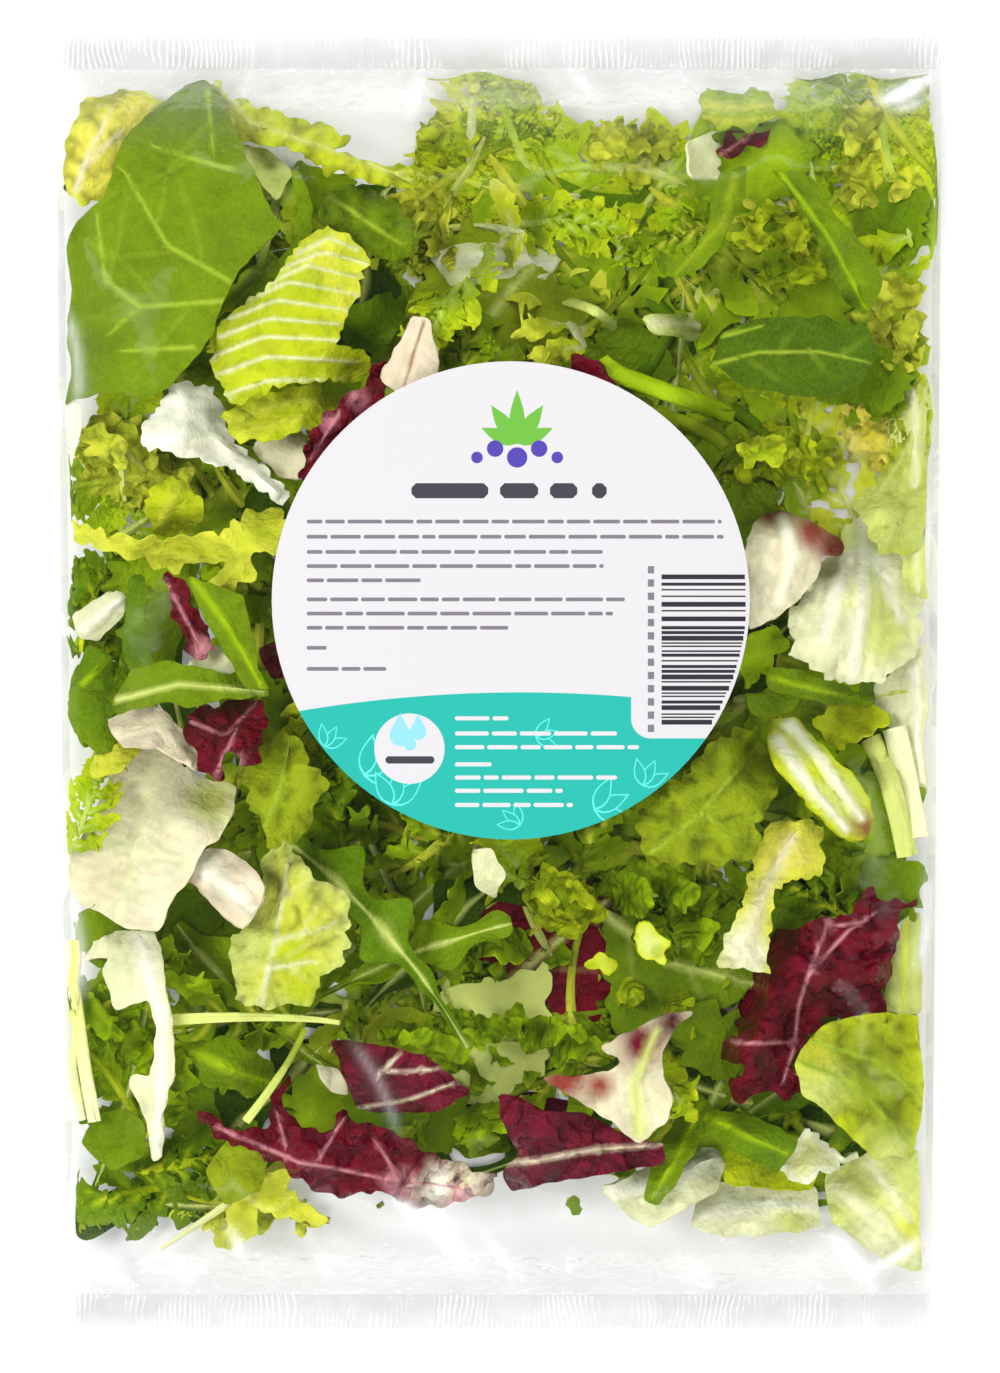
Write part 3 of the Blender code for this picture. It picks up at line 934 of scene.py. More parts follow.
for places, width, tint in (
    ([(600, 362), (640, 384), (735, 414)], 3.4, FRESH_GREEN),
    ([(655, 412), (700, 428), (726, 446)], 2.8, OLIVE),
    ([(733, 408), (758, 424), (779, 442)], 2.6, DEEP_GREEN),
    ([(646, 300), (668, 330), (626, 388)], 3.0, DEEP_GREEN),
    ([(560, 296), (592, 310), (622, 332)], 2.0, PALE_GREEN),
    ([(604, 232), (566, 196), (540, 150)], 1.4, OLIVE),
):
    add("stalks", stalk(places, width, tint), STIFF)
for spot, turn, size, tint, model in (
    ((482, 92), -12, 0.62, "yellow", 0), ((452, 150), -35, 0.66, "green", 1),
    ((520, 138), 20, 0.70, "lime", 2), ((590, 148), 70, 0.70, "lime", 3),
    ((648, 168), -20, 0.60, "lime", 4), ((500, 208), 100, 0.66, "yellow", 1),
    ((560, 205), -60, 0.62, "lime", 2), ((452, 225), 160, 0.60, "lime", 4),
    ((536, 262), 30, 0.66, "yellow", 3), ((476, 318), -10, 0.66, "green", 0),
    ((608, 246), 10, 0.60, "deep", 1), ((655, 300), 120, 0.55, "green", 2),
    ((690, 210), 60, 0.55, "deep", 3), ((536, 335), 170, 0.60, "lime", 4),
    ((425, 300), -80, 0.50, "green", 1),
):
    curly(spot, turn, size, tint, model, mirror=model % 2 == 0)

# %% [markdown]
# The middle, left and right of the label: rocket and red chicory on the left over a pale rib, and on the
# right a cream piece with a wine-red rim, a large bleached leaf and a thick cut rib with a brown end.

# %% Middle, left
blade([(187, 576), (224, 587), (244, 595), (256, 638), (259, 668), (272, 690), (246, 688), (228, 656),
    (209, 625)], ribs=[[(195, 580), (232, 630), (264, 688)]], tint=GREEN, rib_width=0.7)
blade([(113, 706), (130, 670), (169, 661), (224, 673), (267, 686), (272, 697), (224, 698), (187, 710),
    (169, 700), (117, 716)], ribs=[[(118, 700), (180, 684), (268, 692)]], tint=GREEN, rib_tint=PALE_GREEN)
blade([(132, 576), (146, 577), (148, 644), (158, 668), (130, 670), (121, 644)])
blade([(77, 674), (86, 644), (113, 656), (112, 693), (71, 688)], ribs=[[(82, 684), (108, 660)]])
red([(160, 576), (175, 572), (205, 631), (220, 650), (199, 664), (187, 660), (184, 634), (170, 600)],
    ribs=[[(166, 580), (198, 640)]], crinkle=2.4, edge="torn", patches=[(206, 652, 3, PINK)])
pale([(187, 663), (218, 644), (238, 668), (224, 678), (187, 674)], tint=PALE)
broad([(64, 521), (101, 530), (156, 540), (224, 535), (236, 519), (279, 510), (293, 527), (275, 557),
    (256, 550), (253, 575), (230, 594), (203, 584), (224, 572), (230, 561), (193, 561), (178, 572),
    (132, 557), (69, 541)], ribs=[[(70, 530), (132, 547), (200, 560)], [(228, 540), (245, 560),
    (226, 584)]], tint=LIME, frill=1.3, rim_tint=YELLOW_GREEN)
pale([(72, 616), (113, 588), (126, 594), (127, 611), (96, 642), (76, 635)], tint=PALE, relief=0.5,
    frill=0.2, thick=1.2, dome=2.2, ribs=[[(80, 628), (120, 598)]])
broad([(152, 488), (176, 478), (200, 496), (206, 512), (192, 532), (160, 536), (146, 514)], tint=LIME,
    frill=1.4, ribs=[[(158, 528), (180, 488)]])
red([(187, 711), (263, 699), (269, 714), (260, 754), (248, 771), (230, 748), (224, 783), (202, 769),
    (188, 735)], ribs=[[(192, 722), (226, 736), (256, 704)], [(216, 778), (238, 730)]], crinkle=3.0,
    edge="torn", patches=[(240, 760, 2, PINK)])
red([(258, 646), (284, 642), (287, 676), (270, 680)], tint=DARK_RED)
pale([(106, 720), (150, 702), (171, 717), (201, 751), (198, 771), (156, 747), (121, 747)], tint=BEIGE,
    relief=1.4, frill=0.8, thick=0.6, ribs=[[(116, 738), (160, 722), (192, 764)]], rib_tint=CREAM)
broad([(93, 754), (123, 741), (146, 742), (119, 774), (92, 777)], relief=1.0, edge="smooth")
lettuce([(239, 769), (258, 742), (286, 730), (308, 754), (324, 783), (317, 817), (294, 838), (270, 848),
    (252, 806)], ribs=[[(262, 838), (280, 790), (290, 744)]], rib_width=0.4, relief=2.4, frill=1.4,
    crinkle=2.0)
ruffled([(76, 424), (104, 412), (138, 420), (176, 452), (198, 480), (202, 512), (160, 524), (118, 504),
    (84, 486)], LIME, YELLOW_GREEN, ribs=[[(186, 510), (104, 430)]], rib_tint=PALE_GREEN, rib_width=0.5)
curly((112, 432), 10, 0.62, "lime", 0)
curly((96, 486), 100, 0.62, "green", 2)
curly((172, 520), -70, 0.5, "lime", 4)
curly((80, 590), 0, 0.5, "deep", 1)
ruffled([(66, 560), (100, 566), (150, 600), (146, 640), (110, 660), (72, 644)], GREEN, FRESH_GREEN)
lettuce([(182, 470), (232, 474), (284, 506), (292, 520), (232, 520), (196, 508)], tint=DARK_GREEN,
    edge="smooth")
rocket((150, 640), 170, 0.7, 3)

# %% Middle, right
pale([(746, 540), (755, 521), (780, 509), (800, 518), (846, 543), (843, 553), (820, 557), (816, 578),
    (800, 597), (776, 618), (746, 630), (740, 580)], ribs=[[(782, 520), (792, 560), (776, 604)]],
    tint=CREAM, rib_width=1.2, relief=2.4, thick=0.7, patches=[(772, 512, 3.5, BRICK),
    (786, 510, 3.0, BRICK), (836, 547, 6.0, BURGUNDY), (812, 530, 4.0, BRICK)])
pale([(847, 524), (875, 508), (892, 540), (911, 567), (923, 598), (923, 631), (911, 656), (880, 682),
    (857, 680), (826, 680), (804, 662), (786, 656), (796, 641), (786, 631), (787, 613), (811, 589),
    (815, 567), (839, 549)], ribs=[[(866, 520), (860, 600), (850, 676)], [(880, 560), (900, 620)],
    [(846, 560), (822, 640)]], tint=PALE, rib_width=2.0, relief=2.6, frill=1.0, thick=0.5, edge="toothed",
    patches=[(872, 600, 8, PALE_GREEN), (890, 636, 6, PALE_GREEN), (858, 540, 6, PALE_GREEN)])
blade([(857, 654), (866, 654), (877, 702), (860, 700)], relief=0.5)
blade([(765, 667), (790, 668), (826, 679), (874, 696), (874, 706), (826, 704), (768, 690)],
    ribs=[[(770, 678), (820, 690), (870, 700)]], tint=GREEN, frill=1.0)
blade([(744, 694), (801, 695), (794, 712), (752, 716)], tint=GREEN, relief=1.0)
pale([(774, 716), (795, 719), (819, 745), (849, 772), (868, 797), (874, 821), (860, 842), (841, 838),
    (811, 808), (780, 774), (766, 745)], ribs=[[(788, 724), (828, 774), (858, 818)], [(776, 744),
    (806, 786), (842, 828)]], rib_width=1.1, frill=0.3, thick=1.2, dome=2.4, rim_tint=LIME,
    patches=[(864, 828, 4, BROWN), (812, 772, 3, LIME)], stiffness=STIFF)
lettuce([(814, 714), (840, 698), (866, 704), (892, 717), (866, 737), (841, 753), (824, 737)], relief=1.8,
    frill=1.0, edge="torn", rim_tint=LIME, crinkle=2.5)
for places, width, tint in (
    ([(872, 738), (892, 790), (908, 856)], 4.0, PALE_GREEN),
    ([(896, 728), (908, 780), (918, 838)], 4.6, PALE),
):
    add("stalks", stalk(places, width, tint), STIFF)
pale([(872, 690), (905, 660), (930, 640), (932, 790), (920, 800), (906, 760)], tint=PALE, relief=1.2,
    frill=0.5, thick=0.5, ribs=[[(915, 670), (922, 780)]])
lettuce([(690, 772), (707, 746), (755, 721), (773, 751), (776, 791), (757, 821), (749, 860), (694, 863),
    (651, 860), (637, 821), (660, 792)], ribs=[[(652, 850), (700, 812), (762, 740)], [(700, 812),
    (742, 838)]], relief=2.6, frill=1.4, crinkle=2.5)
curly((768, 440), 30, 0.62, "lime", 2)
curly((818, 452), -40, 0.62, "yellow", 3)
curly((742, 470), 80, 0.5, "lime", 0)
curly((862, 492), 10, 0.5, "yellow", 4)
lettuce([(742, 640), (770, 620), (786, 640), (772, 664), (744, 690), (738, 660)], tint=FRESH_GREEN)
lettuce([(836, 716), (880, 712), (896, 770), (906, 820), (870, 800), (846, 760)], tint=DEEP_GREEN,
    relief=2.0, frill=1.6)

# %% [markdown]
# The foot of the bag: a big cream leaf and a hooked white rib on the left, three pieces of red chicory,
# a green mass of curly endive in the middle, and bleached ribs and pale leaves in the right corner.

# %% Foot, left
curly((88, 800), -20, 0.42, "lime", 2)
pale([(147, 751), (169, 745), (196, 778), (238, 785), (235, 806), (220, 840), (205, 848), (193, 875),
    (174, 898), (160, 932), (128, 927), (80, 902), (61, 878), (64, 858), (90, 822), (97, 806), (113, 769),
    (125, 757)], ribs=[[(90, 838), (130, 846), (196, 862)], [(150, 770), (140, 846), (120, 920)]],
    tint=CREAM, rib_tint=PALE, rib_width=1.6, relief=2.0, frill=0.5, thick=0.5, stiffness=STIFF,
    patches=[(214, 800, 6, PALE_GREEN)])
pale([(205, 848), (227, 849), (255, 868), (268, 887), (257, 912), (246, 930), (223, 914), (203, 892),
    (188, 880)], ribs=[[(200, 862), (226, 884), (256, 908)]], tint=BEIGE, rib_width=2.2, frill=0.3,
    thick=1.0, dome=1.6)
broad([(268, 847), (285, 836), (305, 862), (322, 880), (347, 900), (354, 925), (342, 960), (320, 975),
    (312, 1005), (240, 1005), (234, 960), (232, 935), (255, 905), (268, 880)], ribs=[[(262, 1000),
    (276, 940), (290, 860)], [(276, 940), (330, 925)], [(268, 968), (312, 960)]], rib_tint=PALE,
    rib_width=0.6, relief=3.0, frill=1.4, rim_tint=PALE_GREEN, crinkle=2.0, fibre=0.6,
    patches=[(285, 955, 5, LIME), (305, 985, 5, LIME), (250, 950, 5, PALE_GREEN)])
pale([(94, 926), (113, 932), (156, 929), (163, 960), (173, 1012), (176, 1070), (164, 1113), (163, 1156),
    (154, 1163), (149, 1119), (131, 1088), (131, 1072), (153, 1075), (158, 1033), (152, 996), (117, 1011),
    (103, 972), (112, 955), (80, 964), (94, 947)], ribs=[[(140, 940), (162, 1010), (164, 1080),
    (158, 1150)]], tint=PALE, rib_width=1.8, relief=1.0, frill=0.4, thick=0.6)
for places, width, last, tint, end_tint in (
    ([(172, 1019), (262, 1016), (340, 1021)], 2.1, 0.8, PALE_GREEN, PALE_GREEN),
    ([(305, 1028), (284, 1068), (247, 1119)], 1.0, 1.6, OLIVE, PALE_GREEN),
    ([(67, 940), (76, 1012), (94, 1122)], 3.0, 2.4, YELLOW_GREEN, PALE),
    ([(62, 1010), (68, 1060), (82, 1120)], 2.4, 2.0, PALE_GREEN, PALE),
):
    add("stalks", stalk(places, width, tint, end_tint, last), STIFF)
red([(199, 1107), (211, 1113), (236, 1128), (267, 1131), (272, 1094), (290, 1070), (284, 1107),
    (296, 1119), (331, 1131), (346, 1106), (361, 1125), (392, 1131), (423, 1149), (469, 1165),
    (501, 1174), (486, 1190), (447, 1206), (413, 1206), (377, 1191), (334, 1194), (300, 1176),
    (270, 1157), (230, 1142), (205, 1124)], ribs=[[(222, 1128), (300, 1160), (380, 1176), (470, 1188)],
    [(316, 1162), (344, 1118)], [(290, 1154), (278, 1112)], [(400, 1178), (376, 1140)]], rib_width=0.38,
    relief=3.4, frill=1.6, crinkle=5.0, edge="torn", patches=[(404, 1180, 4, PINK), (440, 1188, 6, WHITE),
    (474, 1182, 6, CREAM), (458, 1200, 3, PINK)])
red([(331, 1039), (380, 1042), (426, 1054), (452, 1073), (471, 1091), (438, 1109), (392, 1112),
    (358, 1109), (347, 1079)], ribs=[[(352, 1108), (407, 1098), (464, 1078)], [(383, 1070), (453, 1066)],
    [(380, 1072), (402, 1050)]], tint=PLUM, rib_tint=BEIGE, rib_width=0.42, relief=1.6, crinkle=1.6,
    veined=False)
pale([(315, 1064), (340, 1068), (351, 1096), (330, 1093)], tint=CREAM)
lettuce([(187, 1045), (222, 1036), (262, 1052), (281, 1086), (250, 1096), (206, 1080)], tint=GREEN,
    ribs=[[(196, 1052), (266, 1082)]], rib_tint=FRESH_GREEN, rib_width=1.0)
lettuce([(77, 1143), (101, 1113), (124, 1108), (144, 1118), (146, 1156), (110, 1170)], tint=GREEN,
    relief=1.6, edge="smooth")
lettuce([(232, 1128), (270, 1150), (262, 1186), (226, 1206), (206, 1170)], relief=1.6, edge="smooth")
broad([(224, 1210), (273, 1168), (293, 1174), (287, 1192), (330, 1219), (303, 1225), (256, 1206),
    (252, 1237), (236, 1249), (209, 1246), (228, 1226)], tint=LIME, rim_tint=YELLOW_GREEN)
add("stalks", stalk([(288, 1160), (240, 1196), (160, 1250)], 2.6, YELLOW_GREEN, PALE, 0.7), STIFF)
ruffled([(66, 980), (110, 990), (150, 1040), (196, 1060), (180, 1130), (120, 1110), (80, 1060)], GREEN,
    FRESH_GREEN)
curly((110, 1056), 20, 0.62, "deep", 3)
curly((205, 1000), 80, 0.62, "green", 4)
curly((206, 1150), -70, 0.62, "deep", 0)
curly((138, 1196), 100, 0.6, "deep", 2)
curly((242, 1222), 110, 0.5, "yellow", 1)
curly((112, 980), -30, 0.5, "green", 1)
rocket((255, 1030), 60, 0.8, 1)
rocket((190, 1185), 75, 0.8, 3)
rocket((120, 1110), -20, 0.8, 0)

# %% Foot, middle
broad([(771, 824), (811, 818), (825, 830), (819, 846), (825, 858), (822, 876), (792, 878), (774, 890),
    (770, 922), (767, 973), (740, 968), (714, 964), (723, 940), (742, 900), (749, 870), (755, 846)],
    ribs=[[(742, 960), (758, 900), (792, 838)]], tint=YELLOW, rib_tint=CREAM, rib_width=1.8, relief=1.6,
    edge="toothed", rim_tint=YELLOW_GREEN, patches=[(744, 950, 6, WHITE)])
pale([(664, 1012), (694, 1009), (676, 1024), (660, 1051), (663, 1076), (672, 1094), (666, 1119),
    (639, 1142), (621, 1127), (596, 1109), (579, 1099), (541, 1075), (609, 1070), (621, 1061),
    (599, 1045), (639, 1024)], ribs=[[(640, 1130), (634, 1080), (655, 1030)]], tint=CREAM,
    rib_tint=PALE_GREEN, rib_width=1.4, relief=1.8, frill=0.8, thick=0.6, patches=[(640, 1040, 6, PLUM),
    (672, 1018, 5, DARK_RED), (566, 1078, 6, BRICK), (600, 1084, 3, BRICK)])
red([(498, 1094), (514, 1092), (541, 1108), (581, 1111), (612, 1126), (633, 1138), (664, 1141),
    (664, 1161), (602, 1173), (557, 1179), (511, 1194), (502, 1174), (518, 1152), (502, 1119)],
    ribs=[[(500, 1164), (587, 1149), (664, 1142)]], tint=PLUM, rib_tint=BEIGE, rib_width=0.6, relief=1.4,
    crinkle=1.6)
rocket((420, 915), 20, 0.82, 2)
rocket((400, 950), -60, 0.6, 4)
pale([(628, 932), (640, 922), (656, 926), (670, 941), (664, 960), (650, 962), (634, 950)], tint=PALE,
    rim_tint=LIME, relief=0.6, thick=0.9, dome=1.6, frill=0.4, edge="torn",
    patches=[(644, 940, 2, PALE_GREEN), (656, 950, 1.5, OLIVE)])
pale([(472, 848), (490, 846), (506, 872), (496, 898), (474, 884)], tint=PALE, relief=1.0, thick=0.5)
pale([(584, 963), (594, 952), (606, 952), (616, 963), (604, 974), (592, 972)], rim_tint=LIME, thick=0.7,
    dome=0.8, edge="torn", relief=2.2)
ruffled([(378, 1040), (400, 1022), (450, 1010), (510, 1022), (566, 1012), (606, 1026), (621, 1044),
    (617, 1063), (570, 1074), (527, 1080), (472, 1091), (440, 1058)], GREEN, FRESH_GREEN)
ruffled([(520, 880), (560, 866), (590, 884), (600, 920), (570, 934), (536, 926)], FRESH_GREEN, LIME)
ruffled([(604, 880), (640, 862), (684, 866), (712, 890), (716, 936), (690, 968), (648, 960), (612, 930)],
    GREEN, FRESH_GREEN)
ruffled([(476, 930), (520, 920), (560, 936), (600, 966), (590, 1000), (540, 1010), (496, 992),
    (470, 962)], GREEN, FRESH_GREEN)
ruffled([(590, 980), (640, 970), (690, 990), (700, 1030), (650, 1050), (606, 1030)], FRESH_GREEN, LIME)
ruffled([(420, 1010), (470, 1000), (500, 1030), (490, 1070), (440, 1060)], GREEN, FRESH_GREEN)
ruffled([(352, 900), (380, 880), (410, 910), (400, 960), (366, 980), (350, 940)], FRESH_GREEN, LIME)
for spot, turn, size, tint, model in (
    ((512, 900), 35, 0.62, "lime", 0), ((592, 884), -50, 0.66, "green", 1),
    ((640, 900), 100, 0.55, "lime", 2), ((560, 950), 10, 0.66, "green", 3),
    ((485, 968), -95, 0.62, "green", 4), ((636, 990), 60, 0.66, "lime", 0),
    ((556, 1016), -80, 0.66, "green", 2), ((696, 930), -10, 0.60, "green", 4),
    ((468, 1030), 80, 0.62, "lime", 1), ((410, 880), 140, 0.56, "green", 3),
    ((340, 850), 10, 0.60, "deep", 2), ((380, 1000), -30, 0.60, "green", 0),
    ((690, 880), 150, 0.60, "green", 1), ((540, 1060), 95, 0.60, "green", 4),
    ((610, 1040), -85, 0.60, "lime", 3), ((360, 800), 60, 0.56, "green", 4),
    ((430, 1060), 110, 0.50, "lime", 2), ((560, 850), 170, 0.60, "deep", 0),
):
    curly(spot, turn, size, tint, model, mirror=model % 2 == 1)
lettuce([(494, 900), (560, 888), (622, 900), (652, 940), (630, 992), (570, 1012), (512, 992), (486, 940)],
    tint=FRESH_GREEN, frill=1.8, crinkle=2.5)
lettuce([(424, 956), (480, 940), (540, 966), (566, 1006), (534, 1062), (480, 1076), (432, 1046),
    (412, 994)], tint=FRESH_GREEN, frill=1.8, crinkle=2.5)
lettuce([(438, 1140), (452, 1124), (508, 1120), (512, 1152), (470, 1162)], tint=GREEN, relief=1.0,
    edge="smooth")
red([(462, 1090), (540, 1094), (606, 1110), (560, 1124), (500, 1120), (440, 1112)], tint=DARK_RED,
    relief=1.2, crinkle=0.7)

# %% Foot, right
lettuce([(887, 1012), (918, 1015), (923, 1064), (929, 1113), (911, 1157), (872, 1157), (841, 1127),
    (820, 1105), (804, 1096), (795, 1076), (796, 1051), (821, 1024), (860, 1013)], ribs=[[(800, 1060),
    (850, 1080), (915, 1150)], [(812, 1040), (876, 1060), (924, 1100)]], rib_width=0.6, relief=2.6,
    frill=1.4, rim_tint=LIME, crinkle=2.5, fibre=0.6, patches=[(816, 1086, 7, PALE_GREEN),
    (810, 1050, 5, YELLOW_GREEN), (890, 1150, 6, PALE_GREEN)], edge="smooth")
red([(872, 884), (887, 904), (917, 899), (901, 917), (892, 957), (883, 1014), (832, 1020), (804, 1038),
    (794, 1064), (806, 1096), (734, 1099), (729, 1076), (744, 1062), (701, 1064), (723, 1045),
    (741, 1039), (738, 975), (766, 972), (774, 936), (804, 927), (826, 915), (847, 912)],
    ribs=[[(828, 918), (811, 963), (798, 1002), (795, 1042), (783, 1080)], [(735, 1042), (795, 1042)],
    [(808, 972), (848, 930), (876, 912)], [(826, 926), (868, 920)]], relief=3.0, frill=1.8, crinkle=5.0,
    edge="torn")
blade([(694, 1094), (706, 1098), (716, 1112), (745, 1110), (800, 1140), (777, 1173), (740, 1150),
    (708, 1130), (692, 1152), (678, 1180), (657, 1206), (641, 1197), (653, 1160), (674, 1122)],
    ribs=[[(700, 1108), (680, 1150), (652, 1196)], [(706, 1116), (786, 1152)]], tint=GREEN, rib_width=0.7,
    patches=[(770, 1142, 8, DEEP_GREEN)])
pale([(884, 1014), (888, 957), (909, 914), (923, 911), (923, 1014)], ribs=[[(906, 925), (904, 1010)]],
    rib_tint=LIME, rib_width=0.5)
pale([(698, 969), (737, 970), (739, 1020), (704, 995)], tint=BEIGE)
broad([(786, 1149), (811, 1125), (828, 1149), (859, 1155), (835, 1170), (801, 1179), (778, 1174)],
    rim_tint=WHITE, frill=1.8)
broad([(725, 1150), (771, 1169), (819, 1175), (813, 1191), (755, 1188), (723, 1182)], tint=LIME,
    relief=1.2, edge="smooth")
pale([(826, 1174), (872, 1153), (923, 1149), (925, 1186), (925, 1274), (893, 1265), (857, 1243),
    (830, 1219)], ribs=[[(836, 1190), (880, 1220), (918, 1262)], [(870, 1164), (910, 1220)]],
    rib_tint=PALE, rib_width=1.8, relief=2.0, frill=0.8, thick=0.5, patches=[(880, 1250, 8, PALE),
    (908, 1230, 4, YELLOW_GREEN)])
pale([(670, 1155), (713, 1147), (727, 1165), (718, 1191), (676, 1213), (651, 1228), (633, 1219),
    (600, 1188), (639, 1171)], ribs=[[(612, 1190), (660, 1184), (716, 1160)]], tint=PALE, rib_width=2.2,
    relief=1.2, frill=0.6, thick=0.7, dome=1.2)
pale([(710, 1184), (755, 1184), (817, 1187), (822, 1228), (786, 1234), (725, 1237), (689, 1225)],
    ribs=[[(700, 1214), (760, 1206), (816, 1208)]], tint=PALE, rib_width=2.0, relief=1.4, frill=0.8,
    thick=0.6, patches=[(790, 1226, 5, PALE_GREEN)])
curly((820, 905), 60, 0.5, "deep", 2)
curly((866, 870), 160, 0.5, "deep", 0)
rocket((720, 1060), -15, 0.7, 4)
pale([(838, 1000), (900, 960), (926, 1040), (900, 1060), (850, 1050)], relief=2.2)

print({group: len(laid) for group, laid in groups.items()})

# %% [markdown]
# Leaves under the ones that show. The fill looks for the place where the space is still highest, lays
# another leaf there, and goes on until the ceiling is low all over. The same is done from the table up,
# for the side that the bag lies on. Small leaves then close the gaps through which the table would show.

# %% Filling the bag
# The leaves lie between these two lines of photograph pixels
head_line = on_bag(
    (55, 110), (200, 80), (250, 120), (420, 178), (440, 130), (490, 80), (620, 125), (700, 100),
    (780, 100), (830, 130), (885, 95), (945, 120))
foot_line = on_bag(
    (55, 1190), (160, 1218), (230, 1236), (330, 1204), (440, 1190), (520, 1176), (600, 1182),
    (660, 1216), (780, 1226), (830, 1216), (900, 1260), (945, 1280))
HEAD_MARGIN, FOOT_MARGIN, SIDE_MARGIN = 9, 8, 9
# Of the leaves that fill the bag, the share that is curly endive, and the share that is that or rocket
CURLY_SHARE = 0.62
CURLY_OR_ROCKET_SHARE = 0.8
TOP_FILLERS = 66
BASE_FILLERS = 46
# The ceiling height at which the space counts as filled, and the chance in picking a place, in millimetres
SETTLED = 11.0
PLACE_CHANCE = 3.0
GAP_FILLERS = 60
GAP_BLUR = 2
GAP_LEFT = 0.25
AREA_SOFTNESS = 5.0

cell_x, cell_y = np.meshgrid(CELLS_X, CELLS_Y)
leaf_area = (
    (cell_y < np.interp(cell_x, *head_line.T) - HEAD_MARGIN)
    & (cell_y > np.interp(cell_x, *foot_line.T) + FOOT_MARGIN)
    & (np.abs(cell_x) < half_width(cell_y) - SIDE_MARGIN)
)
fill_chance = np.random.default_rng(7)


def pixel_of(x, y):
    return x / PHOTO_MM_PER_PIXEL + PHOTO_MIDDLE[0], PHOTO_MIDDLE[1] - y / PHOTO_MM_PER_PIXEL


def loosest_place(field):
    """The cell of the leaf area with most room, with a little chance, so that no row forms."""
    scored = np.where(leaf_area, field + fill_chance.uniform(0, PLACE_CHANCE, field.shape), -1e9)
    row, column = np.unravel_index(np.argmax(scored), scored.shape)
    return CELLS_X[column], CELLS_Y[row]


def filler(x, y, deep):
    """One of the usual leaves of the mix at a place of the space."""
    pick = fill_chance.random()
    turn = fill_chance.uniform(0, 360)
    spot = pixel_of(x, y)
    if pick < CURLY_SHARE:
        tint = ("green", "lime", "deep", "green", "lime")[fill_chance.integers(5)] if deep else "green"
        model = plain_frisee_models[int(fill_chance.integers(FRISEE_MODELS)), tint]
        size = fill_chance.uniform(0.55, 0.8)
        return "curly_endive_below", placed(model, spot, turn, size, pick < 0.3, size)
    if pick < CURLY_OR_ROCKET_SHARE:
        model = rocket_models[int(fill_chance.integers(len(rocket_models)))]
        return "rocket", placed(model, spot, turn, fill_chance.uniform(0.7, 1.0))
    corners = int(fill_chance.integers(6, 9))
    angles = np.linspace(0, 2 * math.pi, corners, endpoint=False) + turn
    reach = fill_chance.uniform(50, 105, corners)
    outline = np.column_stack((spot[0] + reach * np.cos(angles) * 1.2, spot[1] + reach * np.sin(angles)))
    kind = fill_chance.random()
    group, tint = (
        ("lettuce", (GREEN, FRESH_GREEN, OLIVE)[int(kind * 30) % 3]) if deep or kind >= 0.4
        else ("red_chicory", BURGUNDY) if kind < 0.2
        else ("chicory_ribs", PALE_GREEN)
    )
    rib = [tuple(outline[0]), spot, tuple(outline[corners // 2])]
    return group, cut_piece(outline, ribs=[rib], tint=tint, edge="frilly", seed=kind * 90, relief=2.4,
                            frill=1.6)


def kept_in_area(leaf):
    """The leaf drawn in at both ends of the leaf area, where the film shows with nothing under it."""
    x, y = leaf["points"][:, 0], leaf["points"][:, 1]
    head = np.interp(x, *head_line.T) - AREA_SOFTNESS
    foot = np.interp(x, *foot_line.T) + AREA_SOFTNESS
    y = np.where(y > head, head + AREA_SOFTNESS * np.tanh((y - head) / AREA_SOFTNESS / 3), y)
    y = np.where(y < foot, foot - AREA_SOFTNESS * np.tanh((foot - y) / AREA_SOFTNESS / 3), y)
    leaf["points"][:, 1] = y
    return leaf


for _ in range(TOP_FILLERS):
    x, y = loosest_place(space.ceiling)
    if sample(space.ceiling, x, y) < SETTLED:
        break
    group, leaf = filler(x, y, deep=True)
    add(group, kept_in_area(leaf), SOFT)
for _ in range(BASE_FILLERS):
    x, y = loosest_place(-space.floor)
    group, leaf = filler(x, y, deep=False)
    add(group + ("" if group.endswith("below") else "_below"), kept_in_area(leaf), SOFT, from_top=False)
for number in range(GAP_FILLERS):
    bare = (leaf_area & ~space.covered).astype(float)
    for _ in range(GAP_BLUR):
        bare = mean_of_neighbours(bare)
    row, column = np.unravel_index(np.argmax(bare), bare.shape)
    if bare[row, column] < GAP_LEFT:
        break
    spot = pixel_of(CELLS_X[column], CELLS_Y[row])
    turns = np.linspace(0, 2 * math.pi, 7, endpoint=False) + fill_chance.uniform(0, 1)
    reach = fill_chance.uniform(30, 55, 7)
    outline = np.column_stack((spot[0] + reach * np.cos(turns), spot[1] + reach * np.sin(turns)))
    leaf = cut_piece(outline, tint=(DEEP_GREEN, GREEN, FRESH_GREEN)[number % 3], edge="ruffled",
                     seed=30.0 + number, relief=2.4, frill=2.0, rim_tint=GREEN)
    add("lettuce_below", kept_in_area(leaf), SOFT, from_top=False)
print(f"{(leaf_area & ~space.covered).sum() / leaf_area.sum():.1%} of the leaf area is bare")
open_room = (space.ceiling - space.floor)[leaf_area]
print(f"room left between the leaves: {open_room.mean():.1f} mm")

# %% [markdown]
# Crumbs of leaf, most of them fallen to the foot of the bag. They are cut pieces too, only a few
# millimetres long.

# %% Crumbs
for x, y, reach, tint in (
    (578, 1204, 12, GREEN), (84, 1230, 10, OLIVE), (150, 1225, 14, DEEP_GREEN),
    (112, 1205, 8, DEEP_GREEN), (66, 186, 12, DARK_GREEN), (382, 1206, 9, OLIVE),
    (915, 1248, 9, BRIGHT_YELLOW), (752, 1206, 8, DARK_RED),
):
    cut("crumbs", [(x - reach, y), (x, y - reach * 0.5), (x + reach * 0.7, y + reach * 0.2),
                   (x - reach * 0.2, y + reach * 0.6)], tint=tint, relief=0.4, frill=0.2, edge="torn")

# %% [markdown]
# Every group becomes one closed mesh. A leaf so far is only its middle surface, so each point is doubled
# along its normal, by half the leaf's thickness to both sides, and a narrow wall closes the edge.

